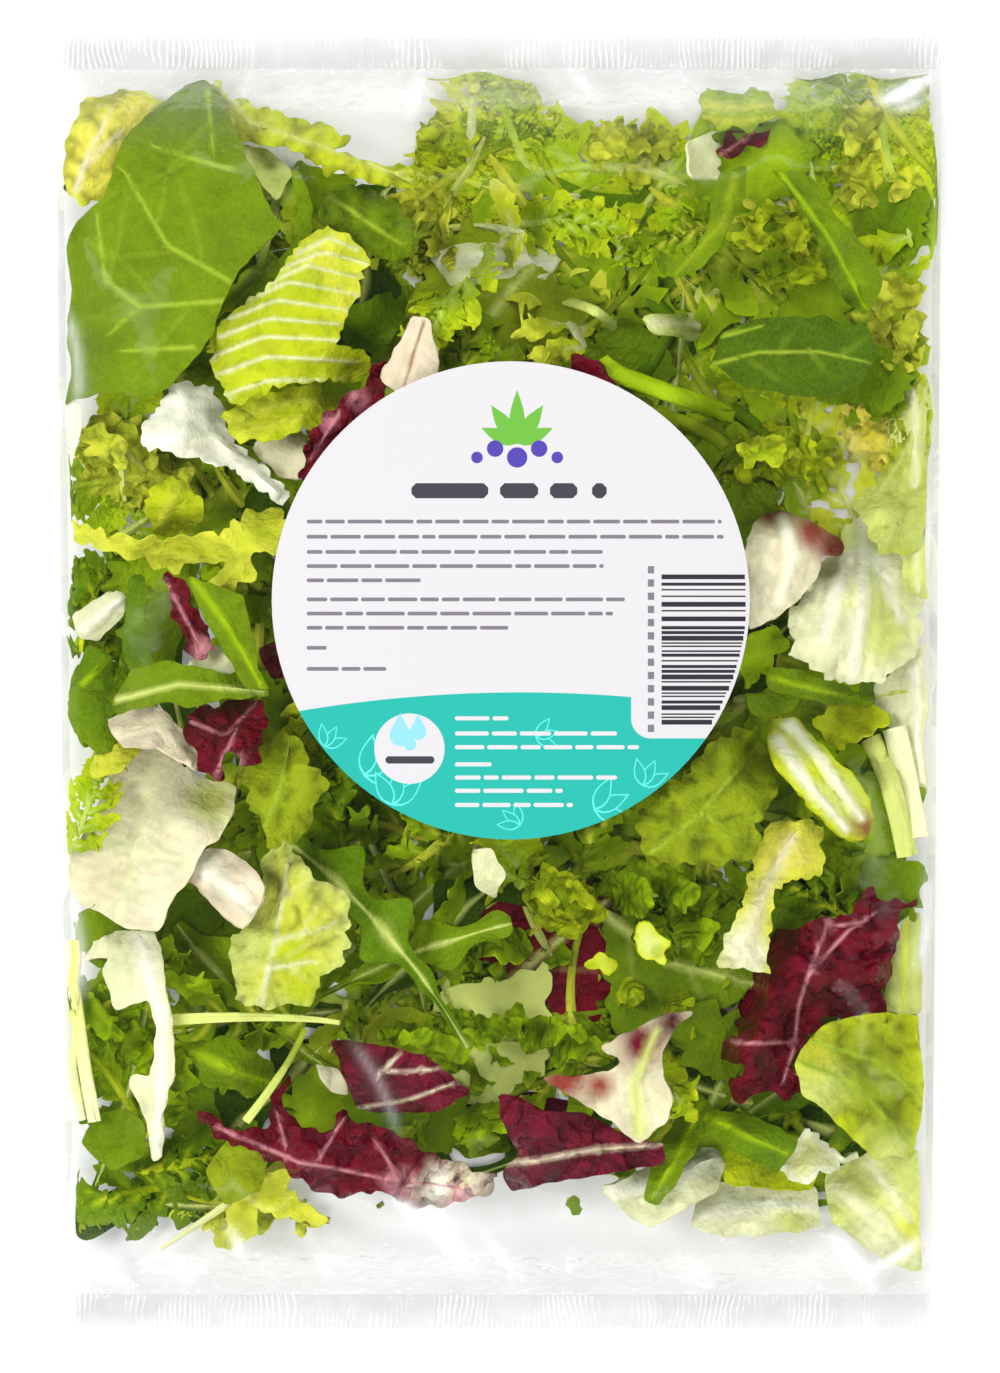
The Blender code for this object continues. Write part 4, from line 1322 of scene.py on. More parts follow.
# %% Closing the leaves
RIM_ANGLE = math.radians(58)


def point_normals(points, faces):
    first, second, third = (points[faces[:, corner]] for corner in range(3))
    across = np.cross(second - first, third - first)
    normals = np.zeros_like(points)
    for corner in range(3):
        np.add.at(normals, faces[:, corner], across)
    return normals / (np.linalg.norm(normals, axis=1)[:, None] + 1e-12)


def closed_leaf(leaf):
    """Points, triangles and colours of the leaf as a closed solid."""
    points, faces = leaf["points"], leaf["faces"]
    count = len(points)
    out = point_normals(points, faces) * leaf["thick"][:, None] / 2
    edges = np.vstack((faces[:, [0, 1]], faces[:, [1, 2]], faces[:, [2, 0]]))
    keys = edges[:, 0] * count + edges[:, 1]
    rim = edges[~np.isin(keys, edges[:, 1] * count + edges[:, 0])]
    start, end = rim[:, 0], rim[:, 1]
    walls = np.vstack((np.column_stack((end, start, start + count)),
                       np.column_stack((end, start + count, end + count))))
    solid_faces = np.vstack((faces, faces[:, ::-1] + count, walls))
    return np.vstack((points + out, points - out)), solid_faces, np.vstack((leaf["tint"],) * 2)


def build_mesh(name, points, faces, tints=None):
    """A mesh object from rows of points in millimetres and rows of corners."""
    mesh = bpy.data.meshes.new(name)
    mesh.vertices.add(len(points))
    mesh.vertices.foreach_set("co", (points * MM).astype(np.float32).ravel())
    sides = faces.shape[1]
    mesh.loops.add(faces.size)
    mesh.loops.foreach_set("vertex_index", faces.astype(np.int32).ravel())
    mesh.polygons.add(len(faces))
    mesh.polygons.foreach_set("loop_start", np.arange(0, faces.size, sides, dtype=np.int32))
    if tints is not None:
        tinted = np.column_stack((tints, np.ones(len(tints)))).astype(np.float32)
        layer = mesh.color_attributes.new("leaf_tint", "FLOAT_COLOR", "POINT")
        layer.data.foreach_set("color", tinted.ravel())
    mesh.update(calc_edges=True)
    mesh.validate()
    mesh.shade_smooth()
    mesh.set_sharp_from_angle(angle=RIM_ANGLE)
    obj = bpy.data.objects.new(name, mesh)
    bpy.context.scene.collection.objects.link(obj)
    return obj


def plate(name, points, faces, thickness):
    """A closed mesh object of one thickness about a middle surface, without colours of its own."""
    leaf = {"points": points, "faces": faces, "tint": points, "thick": np.full(len(points), thickness)}
    return build_mesh(name, *closed_leaf(leaf)[:2])


leaf_pieces = {}
for group, laid in groups.items():
    points, faces, tints, offset = [], [], [], 0
    for leaf in laid:
        leaf_points, leaf_faces, leaf_tints = closed_leaf(leaf)
        points.append(leaf_points)
        faces.append(leaf_faces + offset)
        tints.append(leaf_tints)
        offset += len(leaf_points)
    piece = build_mesh(group, np.vstack(points), np.vstack(faces), np.vstack(tints))
    leaf_pieces[group] = piece
    print(f"{group}: {len(laid)} leaves, {len(piece.data.polygons)} triangles")


# %% [markdown]
# Leaf finish. A fresh leaf is waxy, a little see-through, and has a fine net of veins that the light
# picks out. Its main colours are already on the points, so the material reads them as an attribute and
# adds only what is finer than the mesh: a net of cells for the veins, a soft cloudiness, bulges between
# the veins, and the folds and hollows of a crumpled leaf. The dips between the bulges, the folds and the
# hollows are also painted darker, as painted shade. They are one node group, because every leaf
# material uses them with its own size and strength.

# %% Node helpers and the vein net
def link_value(tree, node, socket, value):
    """Sets a socket to a number or colour, or links another node's output into it."""
    if isinstance(value, bpy.types.NodeSocket):
        tree.links.new(value, node.inputs[socket])
    else:
        node.inputs[socket].default_value = value


def new_node(tree, kind, inputs, **settings):
    """A node of the tree with its inputs set or linked by name or number, and its settings made."""
    node = tree.nodes.new("ShaderNode" + kind)
    for setting, value in settings.items():
        setattr(node, setting, value)
    for socket, value in inputs.items():
        link_value(tree, node, socket, value)
    return node


def math_node(tree, operation, first, second=0.5, clamp=False):
    inputs = {0: first, 1: second}
    return new_node(tree, "Math", inputs, operation=operation, use_clamp=clamp).outputs[0]


def ramp_node(tree, value, low, high, low_out=0.0, high_out=1.0):
    inputs = {"Value": value, "From Min": low, "From Max": high, "To Min": low_out, "To Max": high_out}
    return new_node(tree, "MapRange", inputs, interpolation_type="SMOOTHSTEP").outputs["Result"]


def noise_node(tree, place, scale, detail=2.0, roughness=0.5, output="Fac"):
    inputs = {"Vector": place, "Scale": scale, "Detail": detail, "Roughness": roughness}
    return new_node(tree, "TexNoise", inputs).outputs[output]


def mix_colours(tree, kind, share, first, second):
    inputs = {0: share, 6: first, 7: second}
    return new_node(tree, "Mix", inputs, data_type="RGBA", blend_type=kind).outputs[2]


def mix_surfaces(tree, share, first, second, output):
    """Both surfaces in one, with that share of the second, as the material's own."""
    both = new_node(tree, "MixShader", {0: share, 1: first.outputs[0], 2: second.outputs[0]})
    tree.links.new(both.outputs[0], output.inputs["Surface"])


# Sizes of the patterns, in waves a metre, and how far the net is bent, in metres
NET_BEND_SCALE = 240.0
NET_BEND = 0.0022
CLOUD_SCALE = 90.0
QUILT_SCALE = 420.0
CRUMPLE_SCALE = 170.0
PIT_SCALE = 210.0


def vein_net_group():
    """Outputs Net, 1 on the fine veins, Cloud, a soft variation, Quilt, the bulges between veins, Crumple,
    1 on the ridges of a crumpled leaf and 0 along its folds, and Pits, 1 on the spots where painted shade
    stands for its deepest hollows."""
    tree = bpy.data.node_groups.new("vein_net", "ShaderNodeTree")
    tree.interface.new_socket("Cell Size", in_out="INPUT", socket_type="NodeSocketFloat")
    for name in ("Net", "Cloud", "Quilt", "Crumple", "Pits"):
        tree.interface.new_socket(name, in_out="OUTPUT", socket_type="NodeSocketFloat")
    given = tree.nodes.new("NodeGroupInput")
    result = tree.nodes.new("NodeGroupOutput")
    place = tree.nodes.new("ShaderNodeTexCoord").outputs["Object"]
    bend = {0: noise_node(tree, place, NET_BEND_SCALE, output="Color"), 1: (NET_BEND,) * 3, 2: place}
    bent = new_node(tree, "VectorMath", bend, operation="MULTIPLY_ADD").outputs[0]
    cell = {"Vector": bent, "Scale": given.outputs["Cell Size"]}
    from_vein = new_node(tree, "TexVoronoi", cell, feature="DISTANCE_TO_EDGE").outputs["Distance"]
    tree.links.new(ramp_node(tree, from_vein, 0.02, 0.16, 1.0, 0.0), result.inputs["Net"])
    tree.links.new(noise_node(tree, place, CLOUD_SCALE, 3.0), result.inputs["Cloud"])
    tree.links.new(noise_node(tree, bent, QUILT_SCALE, 2.0, 0.55), result.inputs["Quilt"])
    crumple = math_node(tree, "SUBTRACT", noise_node(tree, bent, CRUMPLE_SCALE, 1.0), 0.5)
    from_fold = math_node(tree, "ABSOLUTE", crumple)
    tree.links.new(ramp_node(tree, from_fold, 0.0, 0.12), result.inputs["Crumple"])
    pits = noise_node(tree, bent, PIT_SCALE, 1.5)
    tree.links.new(ramp_node(tree, pits, 0.39, 0.34), result.inputs["Pits"])
    return tree


vein_net = vein_net_group()


def new_material(name):
    material = bpy.data.materials.new(name)
    material.use_nodes = True
    tree = material.node_tree
    tree.nodes.clear()
    return material, tree, tree.nodes.new("ShaderNodeOutputMaterial")


def bump_node(tree, height, strength, distance, under=None):
    inputs = {"Height": height, "Strength": strength, "Distance": distance}
    if under is not None:
        inputs["Normal"] = under
    return new_node(tree, "Bump", inputs).outputs["Normal"]


def leaf_material(name, cell_size, net_light, gloss, see_through, bump=0.2, cloud=0.4, quilt=0.6,
                  vein_tint=(0.42, 0.52, 0.04, 1.0), crumple=0.0, fold_shade_tint=(0.28, 0.42, 0.14, 1.0),
                  shine=0.22):
    """cell_size is in cells a metre. net_light is how much lighter the veins are, cloud how uneven the tint
    and how much painted shade lies in the dips between the bulges, and crumple how strong the folds are,
    in bump and in painted shade along the folds and in the pits."""
    material, tree, output = new_material(name)
    tint = new_node(tree, "Attribute", {}, attribute_name="leaf_tint").outputs["Color"]
    net = new_node(tree, "Group", {"Cell Size": cell_size}, node_tree=vein_net)
    cloudy = ramp_node(tree, net.outputs["Cloud"], 0.35, 0.75, 0.0, cloud)
    base = mix_colours(tree, "MULTIPLY", cloudy, tint, (0.66, 0.70, 0.42, 1.0))
    # Painted shade: the colour is darker in the dips between the bulges of the quilt bump
    quilt_dip_shade = ramp_node(tree, net.outputs["Quilt"], 0.62, 0.3, 0.0, cloud)
    base = mix_colours(tree, "MULTIPLY", quilt_dip_shade, base, (0.70, 0.74, 0.50, 1.0))
    # Painted shade: the colour is darkened along the folds of the crumple and in the pits
    if crumple:
        folded = math_node(tree, "SUBTRACT", 1.0, net.outputs["Crumple"])
        for mask, strength in ((folded, 0.55), (net.outputs["Pits"], 0.8)):
            shade = math_node(tree, "MULTIPLY", mask, strength * crumple)
            base = mix_colours(tree, "MULTIPLY", shade, base, fold_shade_tint)
    light = math_node(tree, "MULTIPLY", net.outputs["Net"], net_light)
    base = mix_colours(tree, "SCREEN", light, base, vein_tint)
    swell = bump_node(tree, net.outputs["Quilt"], quilt, 0.0016)
    if crumple:
        swell = bump_node(tree, net.outputs["Crumple"], 0.7 * crumple, 0.0012, swell)
    surface = new_node(tree, "BsdfPrincipled", {
        "Base Color": base, "Roughness": gloss, "Specular IOR Level": shine,
        "Normal": bump_node(tree, net.outputs["Net"], bump, -0.0003, swell),
    })
    glow = new_node(tree, "BsdfTranslucent", {"Color": base})
    mix_surfaces(tree, see_through, surface, glow, output)
    return material


GREEN_LEAF = leaf_material("green_leaf", 820.0, 0.07, 0.40, 0.2, bump=0.25)
CURLY_LEAF = leaf_material("curly_leaf", 900.0, 0.06, 0.34, 0.22, quilt=0.5)
BROAD_LEAF = leaf_material("broad_leaf", 900.0, 0.06, 0.34, 0.22, quilt=0.5, crumple=0.2)
RUFFLED_LEAF = leaf_material("ruffled_leaf", 900.0, 0.06, 0.34, 0.24, quilt=0.4, crumple=0.85)
PALE_LEAF = leaf_material("pale_leaf", 500.0, 0.04, 0.36, 0.14, cloud=0.14, quilt=0.3)
RED_LEAF = leaf_material("red_leaf", 800.0, 0.03, 0.24, 0.05, bump=0.3, quilt=0.8, crumple=0.8, shine=0.36,
                         vein_tint=(0.5, 0.02, 0.10, 1.0), fold_shade_tint=(0.34, 0.16, 0.30, 1.0))
FINISHES = {
    "lettuce": GREEN_LEAF, "lettuce_below": GREEN_LEAF, "rocket": GREEN_LEAF, "rocket_below": GREEN_LEAF,
    "curly_endive_head": CURLY_LEAF, "curly_endive_foot": CURLY_LEAF, "curly_endive_below": CURLY_LEAF,
    "crumbs": CURLY_LEAF, "broad_endive": BROAD_LEAF, "ruffled_endive": RUFFLED_LEAF,
    "chicory_ribs": PALE_LEAF, "chicory_ribs_below": PALE_LEAF, "stalks": PALE_LEAF,
    "red_chicory": RED_LEAF, "red_chicory_below": RED_LEAF,
}
for group, piece in leaf_pieces.items():
    piece.data.materials.append(FINISHES[group])
    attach(piece, "root")

# %% [markdown]
# The film. It is one envelope, so a grid gives its upper side, a second grid its under side, and both
# share the line of the side folds and of the seals. Each point takes its height from the imported solid's
# height maps. Pulled film never lies quite smooth: creases run in from the corners and from the seals, and
# they are added as narrow ridges. Each crease is a line in the photograph. Every point also keeps how
# creased it is, and the film's finish paints the creases whiter there, as a painted highlight.

# %% Film creases
CREASES = [
    # start and end in photograph pixels, height and half width of the ridge in mm
    ((385, 1190), (478, 1278), 1.3, 1.3), ((346, 1030), (402, 1142), 0.35, 1.3),
    ((66, 1262), (142, 1292), 1.1, 1.4), ((222, 1216), (248, 1272), 1.0, 1.2),
    ((822, 1228), (880, 1300), 1.2, 1.5), ((930, 1230), (860, 1275), 1.0, 1.2),
    ((940, 70), (868, 104), 1.5, 1.6), ((938, 92), (884, 112), 0.8, 1.0),
    ((318, 74), (300, 102), 0.8, 1.0), ((150, 60), (215, 52), 0.7, 1.2),
    ((560, 60), (600, 110), 0.8, 1.2), ((668, 58), (690, 92), 0.7, 1.2),
    ((420, 60), (404, 130), 0.9, 1.4), ((742, 56), (760, 84), 0.6, 1.0),
    ((480, 1230), (520, 1290), 0.8, 1.3), ((570, 1235), (566, 1292), 0.7, 1.2),
    ((690, 1250), (710, 1300), 0.8, 1.3), ((310, 1240), (330, 1290), 0.8, 1.2),
    ((170, 1246), (190, 1296), 0.7, 1.2), ((64, 300), (78, 420), 0.6, 1.4),
    ((936, 420), (920, 560), 0.6, 1.4), ((928, 860), (912, 980), 0.7, 1.4),
    ((66, 880), (80, 1010), 0.6, 1.4), ((250, 62), (236, 108), 0.7, 1.2),
]
FILM_COLUMNS = 184
FILM_ROWS = 236
CREASE_FADE = 6.0
# How far from the folds and the seals the film opens to its full height
FOLD_ROUNDING = 1.6
SEAL_SLOPE = 9


def crease_height(x, y):
    height = np.zeros_like(x)
    for start, end, rise, width in CREASES:
        (start_x, start_y), (end_x, end_y) = on_bag(start, end)
        length = math.hypot(end_x - start_x, end_y - start_y)
        ahead = ((end_x - start_x) / length, (end_y - start_y) / length)
        along = (x - start_x) * ahead[0] + (y - start_y) * ahead[1]
        bow = 0.06 * length * np.sin(math.pi * np.clip(along / length, 0, 1))
        across = (y - start_y) * ahead[0] - (x - start_x) * ahead[1] - bow
        fade = np.clip(along / CREASE_FADE, 0, 1) * np.clip((length - along) / CREASE_FADE, 0, 1)
        height += rise * fade * np.exp(-np.abs(across / width) ** 1.4)
    return height


def fine_wrinkles(x, y, seed):
    """Small soft folds, stronger towards the seals, where the film isn't pulled tight by the leaves."""
    end = BAG_LENGTH / 2 - SEAL_DEPTH
    loose = 0.10 + 0.42 * np.clip(1 - (end - np.abs(y)) / 34, 0, 1)
    folds = np.array([
        noise.noise((a / 7.0, b / 15.0, seed)) + 0.4 * noise.noise((a / 3.4, b / 6.0, seed + 4))
        for a, b in zip(x, y)
    ])
    return loose * folds


def film_side(from_above):
    """Points and faces of one side of the film, and how creased the film is at each point."""
    u, t, faces = grid_template(FILM_COLUMNS, FILM_ROWS)
    end = BAG_LENGTH / 2 - SEAL_DEPTH + 0.05
    y = (2 * t - 1) * end
    x = u * half_width(y)
    top, base = sample(film_top, x, y), sample(film_base, x, y)
    middle = (top + base) / 2
    from_fold = half_width(y) * (1 - np.abs(u))
    from_end = end - np.abs(y)
    from_edge = np.minimum(from_fold, from_end)
    open_share = np.clip(from_fold / FOLD_ROUNDING, 0, 1) ** 0.6 * np.clip(from_end / SEAL_SLOPE, 0, 1)
    if not from_above:
        z = np.maximum(middle + (base - middle) * open_share, 0.05)
        return np.column_stack((x, y, z)), faces, np.zeros(len(x))
    creases = crease_height(x, y)
    extra = np.maximum(fine_wrinkles(x, y, 2.0) + creases, -0.12)
    z = middle + (top - middle) * open_share + extra * np.clip(from_edge / 3, 0, 1)
    return np.column_stack((x, y, z)), faces, np.clip(creases, 0, 1) ** 1.5


upper, film_faces, upper_creases = film_side(from_above=True)
under, _, under_creases = film_side(from_above=False)
film_faces = np.vstack((film_faces, film_faces[:, ::-1] + len(upper)))
film = build_mesh("film", np.vstack((upper, under)), film_faces)
painted_crease_highlight = film.data.attributes.new("painted_crease_highlight", "FLOAT", "POINT")
painted_crease_highlight.data.foreach_set("value", np.append(upper_creases, under_creases))
select_nothing()
film.select_set(True)
bpy.context.view_layer.objects.active = film
bpy.ops.object.mode_set(mode="EDIT")
bpy.ops.mesh.select_all(action="SELECT")
bpy.ops.mesh.remove_doubles(threshold=0.00001)
bpy.ops.mesh.normals_make_consistent(inside=False)
bpy.ops.object.mode_set(mode="OBJECT")
film.data.set_sharp_from_angle(angle=RIM_ANGLE)
print(f"film of {len(film.data.polygons)} triangles")

# %% [markdown]
# The seals. A hot jaw with fine ribs presses both films into one band at each end. Each band is a thin
# plate here, and its ribs run along the bag, about one to the millimetre.

# %% Welded end seals
RIB_PITCH = 1.14
RIB_HEIGHT = 0.22
SEAL_ROWS = 10
SEAL_THICKNESS = 0.25


def seal_band(name, side):
    columns = int(round(HEAD_WIDTH / RIB_PITCH)) * 2
    u, t, faces = grid_template(columns, SEAL_ROWS)
    y = side * (BAG_LENGTH / 2 - SEAL_DEPTH * t - 0.01)
    x = u * half_width(y)
    middle = (sample(film_top, x, y) + sample(film_base, x, y)) / 2
    rib = np.where(np.rint((u + 1) / 2 * columns).astype(int) % 2 == 0, RIB_HEIGHT, -RIB_HEIGHT) / 2
    pressed = np.clip((t - 0.04) * 12, 0, 1) * np.clip((0.94 - t) * 12, 0, 1)
    slack = 0.35 * np.sin(x / 6.3 + side) * np.sin(x / 17.0) * (1 - t)
    z = middle + rib * pressed + slack
    points = np.column_stack((x, y, z))
    return plate(name, points, faces if side < 0 else faces[:, ::-1], SEAL_THICKNESS)


head_seal = seal_band("head_seal", 1)
foot_seal = seal_band("foot_seal", -1)

# %% [markdown]
# Clear film. Light that meets it either goes straight through or is mirrored, more of it at a low angle,
# so the material mixes a see-through shader with a bright glossy one by the Fresnel share. A white haze
# comes on top: faint all over, stronger where the film is loose and on the ribs of the seals. Along the
# creases a painted highlight makes it whiter still. Fine crinkles bend the mirrored light.

# %% Film finish
# Where the film becomes loose and where it is all loose, in metres from the middle
LOOSE_FROM = 0.106
LOOSE_TO = 0.124
# Share of the mirrored light that taut and loose film keep, and the most of it at a low angle
TAUT_GLOSS = 0.25
LOOSE_GLOSS = 1.1
MOST_GLOSS = 0.45


def film_wrinkle_group():
    """Outputs Height for the bump, Slack, 1 near the seals where the film is loose, and the seals' Ribs."""
    tree = bpy.data.node_groups.new("film_wrinkles", "ShaderNodeTree")
    for name in ("Height", "Slack", "Ribs"):
        tree.interface.new_socket(name, in_out="OUTPUT", socket_type="NodeSocketFloat")
    result = tree.nodes.new("NodeGroupOutput")
    place = tree.nodes.new("ShaderNodeTexCoord").outputs["Object"]
    parts = new_node(tree, "SeparateXYZ", {0: place})
    slack = ramp_node(tree, math_node(tree, "ABSOLUTE", parts.outputs["Y"]), LOOSE_FROM, LOOSE_TO)
    wave = math_node(tree, "SUBTRACT", noise_node(tree, place, 150.0, 2.0, 0.6), 0.5)
    creases = math_node(tree, "SUBTRACT", 1.0, math_node(tree, "ABSOLUTE", wave))
    creases = math_node(tree, "POWER", creases, 9.0)
    some = math_node(tree, "MAXIMUM", slack, 0.05)
    tree.links.new(math_node(tree, "MULTIPLY", creases, some), result.inputs["Height"])
    tree.links.new(slack, result.inputs["Slack"])
    bent = math_node(tree, "MULTIPLY_ADD", noise_node(tree, place, 60.0), 0.006)
    tree.links.new(parts.outputs["X"], bent.node.inputs[2])
    ribs = math_node(tree, "SINE", math_node(tree, "MULTIPLY", bent, 2 * math.pi / (RIB_PITCH * MM)))
    uneven = ramp_node(tree, noise_node(tree, place, 110.0), 0.4, 0.65)
    ribs = math_node(tree, "MULTIPLY", ramp_node(tree, ribs, 0.2, 1.0), uneven)
    tree.links.new(ribs, result.inputs["Ribs"])
    return tree


film_wrinkles = film_wrinkle_group()


def film_material(name, haze, slack_haze, crinkle, tone, rib_haze=0.0, crease_highlight_strength=0.0):
    """The hazes say how white the film is: all over, where it is loose, on the seals' ribs, and on creases,
    where the white is a painted highlight.
    """
    material, tree, output = new_material(name)
    wrinkles = new_node(tree, "Group", {}, node_tree=film_wrinkles)
    normal = bump_node(tree, wrinkles.outputs["Height"], crinkle, 0.0012)
    fresnel = new_node(tree, "Fresnel", {"IOR": 1.5, "Normal": normal})
    gain = ramp_node(tree, wrinkles.outputs["Slack"], 0.0, 1.0, TAUT_GLOSS, LOOSE_GLOSS)
    mirrored = math_node(tree, "MULTIPLY", fresnel.outputs[0], gain)
    mirrored = math_node(tree, "MINIMUM", mirrored, MOST_GLOSS)
    veil = math_node(tree, "MULTIPLY_ADD", wrinkles.outputs["Slack"], slack_haze)
    veil.node.inputs[2].default_value = haze
    if rib_haze:
        veil = math_node(tree, "ADD", veil, math_node(tree, "MULTIPLY", wrinkles.outputs["Ribs"], rib_haze))
    # Painted highlight: the creases are made whiter by the crease mask, as if they caught the light
    if crease_highlight_strength:
        crease = new_node(tree, "Attribute", {}, attribute_name="painted_crease_highlight").outputs["Fac"]
        veil = math_node(tree, "ADD", veil, math_node(tree, "MULTIPLY", crease, crease_highlight_strength))
    share = math_node(tree, "ADD", mirrored, veil, clamp=True)
    gloss = new_node(tree, "BsdfPrincipled", {
        "Base Color": (0.96, 0.96, 0.97, 1.0), "Metallic": math_node(tree, "DIVIDE", mirrored, share),
        "Roughness": 0.09, "Normal": normal,
    })
    clear = new_node(tree, "BsdfTransparent", {"Color": (tone, tone, tone, 1.0)})
    mix_surfaces(tree, share, clear, gloss, output)
    return material


CLEAR_FILM = film_material("clear_film", 0.001, 0.05, 0.3, 0.986, crease_highlight_strength=0.7)
SEAL_FILM = film_material("seal_film", 0.02, 0.03, 0.3, 0.932, rib_haze=0.35)
film.data.materials.append(CLEAR_FILM)
for band in (head_seal, foot_seal):
    band.data.materials.append(SEAL_FILM)
for piece in (film, head_seal, foot_seal):
    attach(piece, "root")
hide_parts("bag")

# %% [markdown]
# The label is a round of smooth white paper. Its print is flat colour, so it is a flat drawing of nested
# shapes: a constrained triangulation joins every outline into one disc, each small face takes the colour
# of the topmost shape over it, and the disc is then draped on the film and closed.

# %% Label drawing
cad_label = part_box("label")
LABEL_MIDDLE = [(cad_label[0][axis] + cad_label[1][axis]) / MM / 2 for axis in (0, 1)]
LABEL_RADIUS = (cad_label[1].x - cad_label[0].x) / MM / 2
LABEL_LIFT = 0.42
PAPER_THICKNESS = 0.28
PAPER, TEAL, TEAL_LINE, INK, GREY, LEAF_INK, BERRY, DROP, STRIPE = range(9)
drawing = []


def draw(points, ink):
    drawing.append(([(float(x), float(y)) for x, y in points], ink))


def arc(middle, radius, start=0, end=360, steps=48):
    angles = np.radians(np.linspace(start, end, steps, endpoint=end - start < 360))
    return [(middle[0] + radius * math.cos(a), middle[1] + radius * math.sin(a)) for a in angles]


def bar(left, right, y, height, ink):
    soft = height * 0.3
    draw([(left, y - height / 2 + soft), (left + soft, y - height / 2), (right - soft, y - height / 2),
          (right, y - height / 2 + soft), (right, y + height / 2 - soft), (right - soft, y + height / 2),
          (left + soft, y + height / 2), (left, y + height / 2 - soft)], ink)


def leaf_shape(base, tip, width, ink, steps=7):
    """A pointed oval from base to tip."""
    base, tip = np.array(base), np.array(tip)
    side = np.array((-(tip - base)[1], (tip - base)[0])) / np.linalg.norm(tip - base) * width / 2
    share = np.linspace(0, 1, steps)
    bulge = np.sin(math.pi * share ** 0.8)[:, None]
    one = base + (tip - base) * share[:, None] + side * bulge
    other = base + (tip - base) * share[::-1][:, None] - side * bulge[::-1]
    draw(np.vstack((one, other[1:-1])), ink)


print(f"label {2 * LABEL_RADIUS:.1f} mm across")

# %% [markdown]
# The print, from the paper up: the arched band across the foot with the white field of the tall bars
# let into it, fine leaf outlines on the band, rows of short bars as lines of print, a round white spot with
# drops, and a sprig of leaves over berries at the head.

# %% What is printed
PRINT_STEP = 0.33
BAND_TOP, BAND_BEND = -18.8, 0.00186
draw(arc((0, 0), LABEL_RADIUS, steps=120), PAPER)
band_x = np.linspace(-50, 50, 41)
draw([*zip(band_x, BAND_TOP - BAND_BEND * (band_x - 2) ** 2), (50, -52), (-50, -52)], TEAL)
notch_corner = [(24.6, -24.2), *arc((28.6, -24.2), 4, 180, 270, 8), (28.6, -28.2)]
draw([(24.6, -18.0), *notch_corner, (52, -28.2), (52, -18.0)], PAPER)

for x, y, turn, reach in ((-30, -36, 40, 9), (-24, -42, 80, 8), (17, -43, 25, 8), (27, -38, 65, 6),
                          (-38, -30, 60, 5), (5, -28, 15, 5), (2, -46, 140, 5)):
    for side in (-38, 0, 38):
        angle = math.radians(turn + side)
        tip = (x + reach * math.cos(angle), y + reach * math.sin(angle))
        leaf_shape((x, y), tip, reach * 0.42, TEAL_LINE)
        inner = [np.array((x, y)) + (np.array(tip) - (x, y)) * share for share in (0.08, 0.92)]
        leaf_shape(*inner, reach * 0.42 - 0.55, TEAL)

print_chance = np.random.default_rng(3)


def line_of_print(left, right, y, height, ink):
    """A row of short bars and gaps of uneven length, as a line of print looks from afar."""
    x = left
    while x < right - 0.8:
        word = min(right - x, print_chance.uniform(2.2, 6.5) * height)
        bar(x, x + word, y, height * 0.62, ink)
        x += word + 0.45 * height


for y, right in ((16.1, 43.1), (13.0, 43.5), (9.9, 18.8), (7.0, 19.0), (4.1, -18.4), (0.2, 24.2),
                 (-2.7, 20.9), (-5.6, -0.5), (-9.7, -37.6), (-14.0, -25.4)):
    line_of_print(-41.7, right, y, 1.25, GREY)
for y, right in ((-24.1, -0.5), (-27.2, 21.7), (-30.0, 26.2), (-33.5, -2.8), (-36.2, 21.7), (-38.9, 10.6),
                 (-41.8, 12.7)):
    line_of_print(-11.4, right, y, 1.35, PAPER)
for left, right in ((-20.3, -4.6), (-2.2, 5.6), (8.0, 13.6), (16.6, 19.6)):
    bar(left, right, 22.4, 3.1, INK)

bar_y = 5.3
while bar_y > -25.6:
    tall = print_chance.choice((1, 1, 2, 3)) * PRINT_STEP
    right = min(48.0, math.sqrt(max(LABEL_RADIUS ** 2 - (abs(bar_y) + 1) ** 2, 0)) - 0.6)
    draw([(30.8, bar_y - tall), (right, bar_y - tall), (right, bar_y), (30.8, bar_y)], STRIPE)
    bar_y -= tall + print_chance.choice((1, 1, 2, 3)) * PRINT_STEP
for y in np.arange(7.0, -26.0, -2.7):
    draw([(28.0, y - 1.5), (29.3, y - 1.5), (29.3, y), (28.0, y)], GREY)

draw(arc((-20.7, -30.3), 7.2), PAPER)
for x, y, reach in ((-22.6, -27.6, 2.2), (-18.9, -26.8, 1.7), (-20.6, -29.4, 1.3)):
    draw([*arc((x, y), reach, -215, 35, 16), (x, y + reach * 2.1)], DROP)
bar(-25.6, -15.6, -32.6, 1.5, INK)

for turn, reach, width in ((0, 11.0, 3.2), (34, 9.5, 3.4), (-34, 9.5, 3.4), (66, 8.0, 3.0), (-66, 8.0, 3.0)):
    angle = math.radians(90 + turn)
    leaf_shape((1.3, 32.0), (1.3 + reach * math.cos(angle), 32.0 + reach * math.sin(angle)), width, LEAF_INK)
for x, y, reach in ((-3.2, 31.0, 1.7), (5.8, 31.0, 1.7), (-6.9, 29.2, 1.2), (9.5, 29.2, 1.2),
                    (1.3, 29.2, 2.1)):
    draw(arc((x, y), reach, steps=20), BERRY)
print(f"{len(drawing)} printed shapes")

# %% [markdown]
# Draping. All outlines and a net of inner points go into one constrained triangulation. The disc takes the
# film's height, and gets the thickness of paper.

# %% Draping the label
DRAPE_STEP = 2.4


